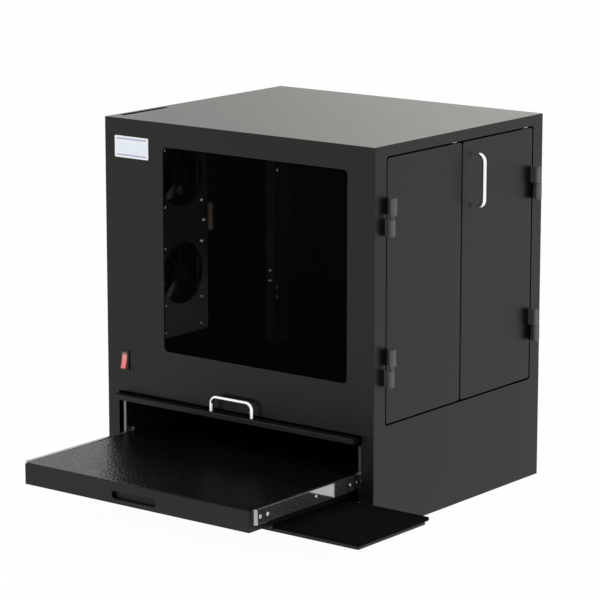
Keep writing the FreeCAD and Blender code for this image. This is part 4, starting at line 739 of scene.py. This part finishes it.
def hinge_pin(length):
    """Pin with a collar in its middle and a chamfer at its top, turned about its axis."""
    collar_top = length - COLLAR_BELOW_TOP
    collar = [
        (PIN_RADIUS, COLLAR_FOOT), (COLLAR_RIM, COLLAR_FOOT), (COLLAR_RADIUS, COLLAR_FOOT + COLLAR_EASE),
        (COLLAR_RADIUS, collar_top - COLLAR_EASE), (COLLAR_RIM, collar_top), (PIN_RADIUS, collar_top),
    ]
    top = [(PIN_RADIUS, length - PIN_CHAMFER), (PIN_RADIUS - PIN_CHAMFER, length), (0, length)]
    return turned([(0, 0), (PIN_RADIUS, 0), *collar, *top], 32)


def hinges():
    """Blocks with their stems on the frame and on both leaves, and the pins between them."""
    half = [hinge_knuckle(), hinge_stem()]
    for name, node_name, body in (
        ("frame_knuckles", "frame_hinge_halves", "cabinet"),
        ("front_door_knuckles", "front_door_hinge_halves", "front_leaf"),
        ("rear_door_knuckles", "rear_door_hinge_halves", "rear_leaf"),
    ):
        grids = []
        for low, high in solids_of(node_name):
            forwards = (low[1] + high[1] < 0) == (body == "cabinet")
            axis_y, way = (high[1] - BARREL_RADIUS, -1) if forwards else (low[1] + BARREL_RADIUS, 1)
            for part in half:
                along, out, up = np.moveaxis(part, -1, 0)
                grids.append(stacked(low[0] + out, axis_y + way * along, low[2] + up))
        make(name, grids, body, node_name, crease=40)
    pins = [seated(hinge_pin(high[2] - low[2]), "+Z", low, high) for low, high in solids_of("hinge_pins")]
    make("hinge_pins_and_collars", pins, "cabinet", "hinge_pins", slot="hinge_steel", crease=30)


# Fans

FAN_HALF, FAN_CORNER, FAN_BORE, FAN_DEPTH = 60.0, 6.0, 58.0, 25.0
WAIST_WALL, FLANGE_STEP = 1.7, 0.05
STRUT_START, STRUT_END, STRUT_WIDTH = 19.0, 58.4, 5.0
SEAT_HEIGHT = 3.0
SEAT_PROFILE = [(0, 0), (19.0, 0), (20, 0.8), (20, 2.6), (19.6, 3), (6, 3), (5.5, 2.6), (0, 2.6)]
HUB_PROFILE = [
    (0, 0.4), (18.8, 0.4), (20, 1.6), (20, 15.5), (19.4, 17.6), (17.6, 18.8), (15.4, 19), (14.9, 18.6),
    (0, 18.6),
]
BLADE_COUNT, BLADE_ROOT, BLADE_TIP, BLADE_LEVEL = 9, 19.0, 56.2, 8.2
ROOT_PITCH, PITCH_FALL = 47, 17
ROOT_CHORD, CHORD_GAIN = 20.5, 9.5
ROOT_THICK, THICK_FALL = 0.95, 0.35
BLADE_BOW, BLADE_SWEEP = 0.09, 7


def fan_blades():
    """Blades: an aerofoil loop carried outwards at a falling pitch, bowed and swept, wrapped on cylinders.

    The sweep grows with the square of the way out, and a place across, over its radius, is an angle.
    """
    out = np.linspace(0, 1, 13)[:, None]
    turn = np.linspace(0, FULL_TURN, 29)
    radius = BLADE_ROOT + (BLADE_TIP - BLADE_ROOT) * out
    pitch = np.radians(ROOT_PITCH - PITCH_FALL * out)
    chord = ROOT_CHORD + CHORD_GAIN * out
    along = -np.cos(turn) / 2
    bowed = BLADE_BOW * chord * (1 - 4 * along ** 2)
    skin = (ROOT_THICK - THICK_FALL * out) * np.sin(turn) * (1.15 - 0.5 * along)
    lift = chord * along * np.sin(pitch) + (bowed + skin) * np.cos(pitch)
    across = chord * along * np.cos(pitch) - (bowed + skin) * np.sin(pitch) + BLADE_SWEEP * out ** 2
    angle = across / radius + FULL_TURN / BLADE_COUNT * np.arange(BLADE_COUNT)[:, None, None]
    blades = stacked(radius * np.cos(angle), radius * np.sin(angle), BLADE_LEVEL + lift)
    return [capped(blade) for blade in blades]


def fan_frame():
    """Fan housing: a loop of radii carried round the axis, over bore, square flanges and round waist.

    The lower half of the loop runs from the bore out to the waist, and the upper half mirrors it.
    """
    line = rounded(FAN_HALF, FAN_HALF, FAN_CORNER, 10)
    square = np.linalg.norm(line, axis=1)
    way = line / square[:, None]
    waist = np.minimum(square - FLANGE_STEP, FAN_BORE + WAIST_WALL)
    hole = np.full(len(line), FAN_BORE)
    lower = [
        (hole, 2.4), (hole + 0.3, 0.9), (hole + 1.2, 0),
        (square - 0.5, 0), (square, 0.5), (square, 3.9), (square - FLANGE_STEP, 4.0), (waist, 4.3),
    ]
    upper = [(radius, FAN_DEPTH - height) for radius, height in lower[::-1]]
    loop = [*upper[-3:], *lower, *upper[:-2]]
    return at_heights([radius[:, None] * way for radius, _ in loop], [height for _, height in loop])


def fan_struts():
    """Four flat bars with eased edges from the motor seat to the bore."""
    section = rounded(STRUT_WIDTH / 2, SEAT_HEIGHT / 2, 1.0, 3)
    along = np.array([STRUT_START, STRUT_END])[:, None]
    bar = capped(stacked(along, section[:, 0], section[:, 1] + SEAT_HEIGHT / 2))
    quarter = np.array([[0, 1, 0], [-1, 0, 0], [0, 0, 1]], dtype=float)
    return [bar @ np.linalg.matrix_power(quarter, turn) for turn in range(4)]


def fans():
    """Two housings with motor seats and struts, and a wheel in each."""
    housing = [fan_frame(), turned(SEAT_PROFILE, 48), *fan_struts()]
    wheel = [grid + [0, 0, SEAT_HEIGHT] for grid in (turned(HUB_PROFILE, 64), *fan_blades())]
    boxes = sorted(solids_of("fan_frames"), key=lambda box: box[0][2])
    housings = []
    for level, box in zip(("lower", "upper"), boxes):
        housings += [seated(grid, "+X", *box) for grid in housing]
        rotor = [seated(grid, "+X", *box) for grid in wheel]
        make(f"{level}_fan_wheel", rotor, f"{level}_rotor", f"{level}_fan_rotor", FAN_PLASTIC)
    make("fan_housings", housings, "cabinet", "fan_frames", FAN_PLASTIC)


# Switch and plate

ROCKER_WIDTH, ROCKER_HALF_HEIGHT = 13.0, 15.0
ROCKER_FRONT, ROCKER_BACK, ROCKER_PIVOT_Y = 6.0, 3.0, -255.0
ROCKER_CORNER, ROCKER_DISH, ROCKER_EASE = 1.2, 1.1, 0.9
ROCKER_LEAN = np.radians(11)
PLATE_CORNER = 2.0
PLATE_RIM = [(0, 0), (0, 0.7), (0.1, 0.9), (0.3, 1.0), (1.3, 1.0), (1.6, 0.8)]


def rocker_lens():
    """Rocker: a side outline with a parabola for its face, carried across with eased sides and leant over."""
    corner, half = ROCKER_CORNER, ROCKER_HALF_HEIGHT
    level = np.linspace(half - corner, corner - half, 15)
    dish = ROCKER_DISH * (1 - (level / half) ** 2)
    ease = np.linspace(0, QUARTER_TURN, 5)[1:-1]
    shoulder = corner - ROCKER_FRONT
    upper = np.stack([shoulder - corner * np.sin(ease), half - corner + corner * np.cos(ease)], axis=-1)
    face = np.stack([dish - ROCKER_FRONT, level], axis=-1)
    lower = (upper * [1, -1])[::-1]
    top_edge = [[ROCKER_BACK, half], [shoulder, half]]
    bottom_edge = [[shoulder, -half], [ROCKER_BACK, -half]]
    line = np.vstack([top_edge, upper, face, lower, bottom_edge, top_edge[:1]])
    y, z, x = np.moveaxis(lofted(line, soft_edges(ROCKER_WIDTH, ROCKER_EASE)), -1, 0)
    leant_y = y * np.cos(ROCKER_LEAN) + z * np.sin(ROCKER_LEAN)
    leant_z = z * np.cos(ROCKER_LEAN) - y * np.sin(ROCKER_LEAN)
    return stacked(x - ROCKER_WIDTH / 2, leant_y, leant_z)


def switch_and_plate():
    """Lens in the middle of the switch's housing, and the blank plate with its raised rim."""
    low, high = extent("switch_housing")
    x, _, z = (low + high) / 2
    lens = rocker_lens() + [x, ROCKER_PIVOT_Y, z]
    make("rocker_lens", [lens], "rocker", "switch_rocker", crease=50)
    low, high = extent("name_plate")
    half = (high - low) / 2
    rim = capped(framed(half[0], half[2], PLATE_CORNER, PLATE_RIM))
    make("blank_name_plate", [seated(rim, "-Y", low, high)], "cabinet", "name_plate", crease=50)


# Drawer, tray and slides

MAT_COUNT_X, MAT_COUNT_Y = 250, 198
MAT_WAVES, WAVE_TURN = 14, 2.399963
WAVE_LENGTH, WAVE_LENGTH_STEP, WAVE_SPREAD = 5.2, 0.55, 1.3
WAVE_SHIFT, WAVE_PULL, PULL_RATE = 1.7, 1.1, 0.21
GRAIN_HEIGHT, GRAIN_LIMIT, GRAIN_FADE = 0.012, 6, 3
MAT_SINK, MAT_EDGE_DROP, MAT_EDGE = 0.1, 0.5, 2
TRAY_CORNER = 4.0
SLIDE_WALL = 1.2
CHANNEL_BEND, CHANNEL_LIP = 0.5, (1.0, 0.5)
TAB_BEND, TAB_RETURN, TAB_ROOM = 4.6, 3.0, 2.0
DRAWER_WEB = 7.2
STRAIGHT_STUB = 0.3


def pressed_mat(low, high):
    """Mat with a pressed grain: its height is a sum of waves that cross at many angles.

    A slower sine pulls each wave about, and the grain fades out at the edges, which drop.
    """
    x = np.linspace(low[0], high[0], MAT_COUNT_X)[:, None]
    y = np.linspace(low[1], high[1], MAT_COUNT_Y)[None]
    grain = np.zeros((MAT_COUNT_X, MAT_COUNT_Y))
    for index in range(MAT_WAVES):
        angle = WAVE_TURN * index
        length = WAVE_LENGTH + WAVE_LENGTH_STEP * (index * 5 % MAT_WAVES)
        wave = (x * np.cos(angle) + WAVE_SPREAD * y * np.sin(angle)) * FULL_TURN / length
        grain += np.sin(wave + WAVE_SHIFT * index + WAVE_PULL * np.sin(wave * PULL_RATE + index))
    edge = np.minimum(np.minimum(x - low[0], high[0] - x), np.minimum(y - low[1], high[1] - y))
    pressed = GRAIN_HEIGHT * grain.clip(-GRAIN_LIMIT, GRAIN_LIMIT) * np.clip(edge / GRAIN_FADE, 0, 1)
    drop = MAT_EDGE_DROP * np.clip(1 - edge / MAT_EDGE, 0, 1)
    return closed_below(stacked(x, y, high[2] - MAT_SINK + pressed - drop), low, high)


def bent_strip(line, ends):
    """Bent sheet: a middle line in X and Z, given half its wall on both sides and carried along Y."""
    way = along_path(line)
    side = np.stack([-way[:, 1], way[:, 0]], axis=-1) * SLIDE_WALL / 2
    outer, inner = line + side, line - side
    loop = np.vstack([outer, inner[::-1], outer[:1]])
    sheet = stacked(loop[:, 0], np.array(ends, dtype=float)[:, None], loop[:, 1])
    strip = np.stack([outer, inner])
    return [sheet, *[stacked(strip[..., 0], end, strip[..., 1]) for end in ends]]


def slide_channel(web, lips, heights, ends):
    """Rolled channel: the middle line is a C with all but sharp bends and lips that turn in a little."""
    turn = np.linspace(0, QUARTER_TURN, 6)
    toward = np.sign(lips - web)
    bend, half = CHANNEL_BEND - SLIDE_WALL / 2, (heights[1] - heights[0] - SLIDE_WALL) / 2
    spine = web + toward * SLIDE_WALL / 2
    bow = np.stack([spine + toward * bend * (1 - np.sin(turn)), half - bend * (1 - np.cos(turn))], axis=-1)
    lip = [[lips, half - CHANNEL_LIP[1]], [lips - toward * CHANNEL_LIP[0], half]]
    upper = np.vstack([lip, bow, [[spine, half - bend - STRAIGHT_STUB]]])
    line = np.vstack([upper, (upper * [1, -1])[::-1]]) + [0, sum(heights) / 2]
    return bent_strip(line, ends)


def slide_tab(start, stop, front, heights):
    """Front tab: the sheet runs across the slide's end and turns back along it in a round bend."""
    turn = np.linspace(0, QUARTER_TURN, 9)
    outwards = np.sign(stop - start)
    line_x, line_y = stop - outwards * SLIDE_WALL / 2, front + SLIDE_WALL / 2
    arc_x = line_x - outwards * TAB_BEND * (1 - np.sin(turn))
    arc = np.stack([arc_x, line_y + TAB_BEND * (1 - np.cos(turn))], axis=-1)
    before = [[start, line_y], arc[0] - [outwards * STRAIGHT_STUB, 0]]
    after = [arc[-1] + [0, STRAIGHT_STUB], arc[-1] + [0, TAB_RETURN]]
    return [grid[..., [0, 2, 1]] for grid in bent_strip(np.vstack([before, arc, after]), heights)]


def slides():
    """Three channels on each side, one inside another; the drawer's own has a tab at its front."""
    for label, sign in (("left", -1), ("right", 1)):
        for member, body, finish in (
            # The cabinet's and middle channels take the rolled steel painted darker as shade.
            ("cabinet", "cabinet", PLATE_IN_PAINTED_SHADE),
            ("middle", "slide_middles", PLATE_IN_PAINTED_SHADE),
            ("drawer", "drawer", SLIDE_PLATE),
        ):
            node_name = f"{label}_{member}_slide"
            low, high = extent(node_name)
            heights, ends = (low[2], high[2]), (low[1], high[1])
            near, far = (low[0], high[0]) if sign > 0 else (high[0], low[0])
            if member == "drawer":
                web, behind_tab = near + sign * DRAWER_WEB, (ends[0] + TAB_ROOM, ends[1])
                grids = slide_channel(web, near, heights, behind_tab)
                grids += slide_tab(near, far, ends[0], heights)
            else:
                grids = slide_channel(far, near, heights, ends)
            make(f"{label}_{member}_channel", grids, body, node_name, finish, crease=30)


def drawer_and_tray():
    """Grained mat of the drawer, and the mouse tray's board over its underframe."""
    mat = pressed_mat(*extent("drawer_mat"))
    make("drawer_grained_mat", mat, "drawer", "drawer_mat", crease=60)
    for name, node_name, finish, ease in (
        ("mouse_tray_top", "mouse_tray_board", "tray_board", 1.3),
        ("mouse_tray_underframe", "mouse_tray_base", "black_steel", 1.0),
    ):
        board = eased_block(*extent(node_name), TRAY_CORNER, ease)
        make(name, [board], "mouse_tray", node_name, FINISH[finish], crease=50)


# Seals

WINDOW_SEAL_WIDTH, WINDOW_SEAL_CORNER = 18.0, 9.0
WINDOW_SEAL_PROFILE = [
    (0, 0.5), (0, 1.5), (-0.15, 1.85), (-0.5, 2.0), (-WINDOW_SEAL_WIDTH, 2.0),
    (-WINDOW_SEAL_WIDTH, 0), (-0.5, 0), (-0.15, 0.15), (0, 0.5),
]
DOOR_SEAL_CORNER = 1.0
DOOR_SEAL_PROFILE = [
    (0.3, 0), (10.7, 0), (11, 0.5), (10.4, 1.2), (8.4, 1.5), (7.2, 2.0),
    (5.5, 2.2), (3.8, 2.0), (2.6, 1.5), (0.6, 1.2), (0, 0.5), (0.3, 0),
]
GROMMET_PROFILE = [
    (26, 0.9), (26.3, 0.25), (27, 0), (34, 0), (34.6, 0.3), (34.8, 0.9), (34.5, 1.7), (33.6, 2.2),
    (29, 2.2), (29, 3.7), (33.6, 3.7), (34.5, 4.2), (34.8, 5.0), (34.6, 5.6), (34, 5.9), (27, 5.9),
    (26.3, 5.65), (26, 5.0), (26, 0.9),
]


def seals():
    """Rubber round the window with a rounded lip, door strip with a bulb, and the grooved cable grommet."""
    low, high = extent("window_seal")
    opening = (high - low) / 2 - WINDOW_SEAL_WIDTH
    lip = framed(opening[0], opening[2], WINDOW_SEAL_CORNER, WINDOW_SEAL_PROFILE)
    make("window_rubber", [seated(lip, "-Y", low, high)], "cabinet", "window_seal", crease=50)
    low, high = extent("door_seal")
    half = (high - low) / 2
    bulb = framed(half[1], half[2], DOOR_SEAL_CORNER, DOOR_SEAL_PROFILE)
    make("door_rubber", [seated(bulb, "+X", low, high)], "cabinet", "door_seal", crease=50)
    ring = seated(turned(GROMMET_PROFILE, 72), "+Y", *extent("cable_grommet"))
    make("cable_grommet_ring", [ring], "cabinet", "cable_grommet", crease=40)


# Filter, fuse and catches

PLEAT_COUNT_X, PLEAT_COUNT_Y = 25, 261
PLEAT_HEIGHT, PLEAT_PITCH, PLEAT_SINK = 2.6, 9.0, 3.2
RIPPLE_HEIGHT, RIPPLE_PITCH = 0.5, 5.3
FUSE_PROFILE = [(0, 0), (4.6, 0), (4.9, 0.8), (5, 2.2), (5, 28.8), (4.9, 30.2), (4.6, 31), (0, 31)]
FUSE_CAP_CORNER, FUSE_CAP_EASE = 2.6, 0.9
FUSE_BASE_CORNER = 3.0
FUSE_BASE_PROFILE = [(0, 0), (0, 3.2), (0.4, 3.6), (1.2, 3.8), (1.6, 6.0)]
CATCH_CORNER, CATCH_EASE = 1.6, 0.7


def pleated_filter(low, high):
    """Filter mat: the top is a wave along Y with a finer wave across it, the underside is flat."""
    x = np.linspace(low[0], high[0], PLEAT_COUNT_X)[:, None]
    y = np.linspace(low[1], high[1], PLEAT_COUNT_Y)[None]
    pleat = PLEAT_HEIGHT * np.sin(FULL_TURN * (y - low[1]) / PLEAT_PITCH)
    ripple = RIPPLE_HEIGHT * np.sin(FULL_TURN * x / RIPPLE_PITCH + y)
    return closed_below(stacked(x, y, high[2] - PLEAT_SINK + (pleat + ripple)), low, high)


def filter_and_fuse():
    """Filter in the duct, and the fuse: a ceramic tube between two caps on a stepped base."""
    pleats = pleated_filter(*extent("duct_filter"))
    make("pleated_filter_mat", pleats, "cabinet", "duct_filter", crease=60)
    tube = seated(turned(FUSE_PROFILE, 40), "+Z", *extent("fuse_body"))
    make("fuse_ceramic_tube", [tube], "cabinet", "fuse_body")
    caps = [eased_block(*box, FUSE_CAP_CORNER, FUSE_CAP_EASE) for box in solids_of("fuse_caps")]
    make("fuse_end_caps", caps, "cabinet", "fuse_caps", crease=50)
    low, high = extent("fuse_holder")
    half = (high - low) / 2
    steps = capped(framed(half[1], half[2], FUSE_BASE_CORNER, FUSE_BASE_PROFILE))
    make("fuse_base", [seated(steps, "+X", low, high)], "cabinet", "fuse_holder", crease=40)


def catches():
    """Eased blocks that hold the doors shut."""
    blocks = [eased_block(*box, CATCH_CORNER, CATCH_EASE) for box in solids_of("door_catches")]
    make("door_catch_blocks", blocks, "cabinet", "door_catches", crease=50)


# Flap gear

ROD_RADIUS, ROD_CHAMFER = 3, 0.7
ROLLER_PROFILE = [
    (3.05, 0), (3.9, 0), (4.2, 0.5), (4.2, 3.2), (3.9, 3.6), (3.9, 4.4), (4.2, 4.8), (4.2, 7.5), (3.9, 8),
    (3.05, 8), (3.05, 0),
]


def flap_gear():
    """Pivot rod with chamfered ends, and the grooved rollers on it."""
    low, high = extent("flap_rod")
    length = high[0] - low[0]
    half_rod = [(0, 0), (ROD_RADIUS - ROD_CHAMFER, 0), (ROD_RADIUS, ROD_CHAMFER)]
    other_half = [(radius, length - height) for radius, height in half_rod[::-1]]
    rod = seated(turned(half_rod + other_half, 28), "+X", low, high)
    make("flap_pivot_rod", [rod], "flap_carriage", "flap_rod")
    wheels = [seated(turned(ROLLER_PROFILE, 36), "+X", *box) for box in solids_of("flap_rollers")]
    make("flap_guide_rollers", wheels, "flap_carriage", "flap_rollers")


fasteners()
handles()
hinges()
fans()
switch_and_plate()
slides()
drawer_and_tray()
seals()
filter_and_fuse()
catches()
flap_gear()


# Stage, light and camera

# The room's white as it is seen, and the share of it that lights the object.
ROOM_WHITE = 1.3
ROOM_LIGHT = 0.72

# Level directions to the right along the room's back wall, and straight at it.
WALL_RIGHT = (0.7903, 0.6127, 0.0)
WALL_AHEAD = (-0.6127, 0.7903, 0.0)

# Tones of the back wall in a gloss: place along the wall, strength and tint.
WALL_SPREAD = 0.3
WALL_TONES = (
    (-0.25, 1.0, (1, 1, 1)),
    (-0.075, 0.92, (1, 1, 1)),
    (-0.05, 0.755, (0.985, 1, 0.955)),
    (0.0, 0.92, (0.99, 1, 0.955)),
    (0.0745, 1.235, (1.025, 1, 0.955)),
    (0.25, 1.0, (1, 1, 1)),
)

# The floor: sizes in metres, and the share of its white that no shadow darkens.
FLOOR_HALF, FLOOR_DROP = 8.0, 0.0004
FLOOR_COLOUR = (0.94, 0.94, 0.94, 1)
FLOOR_OWN_WHITE = 0.975

# Lamps: name, place and size in metres, power in watts.
LAMPS = (
    ("soft_key", (-1.6, -2.6, 2.9), 2.2, 42.0),
    ("soft_side", (3.0, 0.4, 2.4), 2.0, 24.0),
)
LAMP_TARGET = Vector((0, -0.1, 0.3))

# The photo's camera: place in metres, angles in degrees, lens and sensor in millimetres.
CAMERA_PLACE = (3.1981, -4.1973, 1.4375)
CAMERA_AZIMUTH, CAMERA_ELEVATION = 37.784347, 11.850503
CAMERA_LENS, CAMERA_SENSOR = 178.015, 36.0


def seen_white(tree):
    """1 for rays that come from the camera or off a gloss or through a clear sheet, otherwise 0."""
    rays = node(tree, "LightPath").outputs
    seen = joined(tree, "MAXIMUM", rays["Is Camera Ray"], rays["Is Glossy Ray"])
    return joined(tree, "MAXIMUM", seen, rays["Is Transmission Ray"])


def room_colour(tree):
    """Colour of the white room: even, but in a gloss the back wall is darker at its left than its right."""
    heading = node(tree, "TexCoord").outputs["Generated"]
    sideways, ahead = (
        node(tree, "VectorMath", [(0, heading), (1, axis)], operation="DOT_PRODUCT").outputs["Value"]
        for axis in (WALL_RIGHT, WALL_AHEAD))
    across = ranged(tree, sideways, 0.0, 1.0, -WALL_SPREAD, WALL_SPREAD)
    wall = shade(tree, across, [
        (0.5 + 0.5 * place / WALL_SPREAD, grey(strength / ROOM_WHITE, tint))
        for place, strength, tint in WALL_TONES])
    facing = joined(tree, "GREATER_THAN", ahead, 0.0)
    shown = joined(tree, "MULTIPLY", facing, node(tree, "LightPath").outputs["Is Glossy Ray"])
    return blended(tree, shown, (*grey(1 / ROOM_WHITE), 1), wall)


def white_room():
    """World that is white to look at and lights the object a little less."""
    world = bpy.data.worlds.new("white_room")
    scene.world = world
    world.use_nodes = True
    tree = world.node_tree
    strength = ranged(tree, seen_white(tree), ROOM_LIGHT * ROOM_WHITE, ROOM_WHITE, 0.0, 1.0)
    feed(tree, tree.nodes["Background"], Color=room_colour(tree), Strength=strength)


def floor_paint():
    """Pale floor: mostly white of its own where it is seen, with a thin share that takes the shadow."""
    material = bpy.data.materials.new("pale_floor")
    material.use_nodes = True
    tree = material.node_tree
    tree.nodes.remove(tree.nodes["Principled BSDF"])
    diffuse = node(tree, "BsdfDiffuse", [("Color", FLOOR_COLOUR)])
    glow = node(tree, "Emission", [("Color", (*WHITE, 1)), ("Strength", 1.0)])
    share = joined(tree, "MULTIPLY", seen_white(tree), FLOOR_OWN_WHITE)
    mixed = node(tree, "MixShader", [(0, share), (1, diffuse.outputs[0]), (2, glow.outputs[0])])
    feed(tree, tree.nodes["Material Output"], Surface=mixed.outputs[0])
    return material


def pale_floor():
    """One square sheet just under the object."""
    side = np.array([-FLOOR_HALF, FLOOR_HALF])
    sheet = stacked(side[:, None], side[None], -FLOOR_DROP).reshape(-1, 3)
    mesh = bpy.data.meshes.new("floor")
    mesh.from_pydata(sheet.tolist(), [], [(0, 2, 3, 1)])
    mesh.materials.append(floor_paint())
    floor = bpy.data.objects.new("floor", mesh)
    scene.collection.objects.link(floor)


def aimed(name, data, place, way):
    """Lamp or camera at a place, looking along a way with its top upwards."""
    item = bpy.data.objects.new(name, data)
    item.location = place
    item.rotation_mode = "QUATERNION"
    item.rotation_quaternion = way.to_track_quat("-Z", "Y")
    scene.collection.objects.link(item)
    return item


def lamps():
    """Soft square lamps that neither the camera nor a gloss sees."""
    for name, place, size, power in LAMPS:
        lamp = bpy.data.lights.new(name, "AREA")
        lamp.size = size
        lamp.energy = power
        item = aimed(name, lamp, place, LAMP_TARGET - Vector(place))
        item.visible_glossy = False
        item.visible_camera = False


def photo_camera():
    """Camera at the photo's viewing angle."""
    azimuth, elevation = np.radians(CAMERA_AZIMUTH), np.radians(CAMERA_ELEVATION)
    level = np.cos(elevation)
    back = Vector((np.sin(azimuth) * level, -np.cos(azimuth) * level, np.sin(elevation)))
    lens = bpy.data.cameras.new("photo_camera")
    lens.sensor_width = CAMERA_SENSOR
    lens.lens = CAMERA_LENS
    lens.clip_start, lens.clip_end = 0.1, 100.0
    scene.camera = aimed("photo_camera", lens, CAMERA_PLACE, -back)


white_room()
pale_floor()
lamps()
photo_camera()
scene.view_settings.view_transform = "Standard"
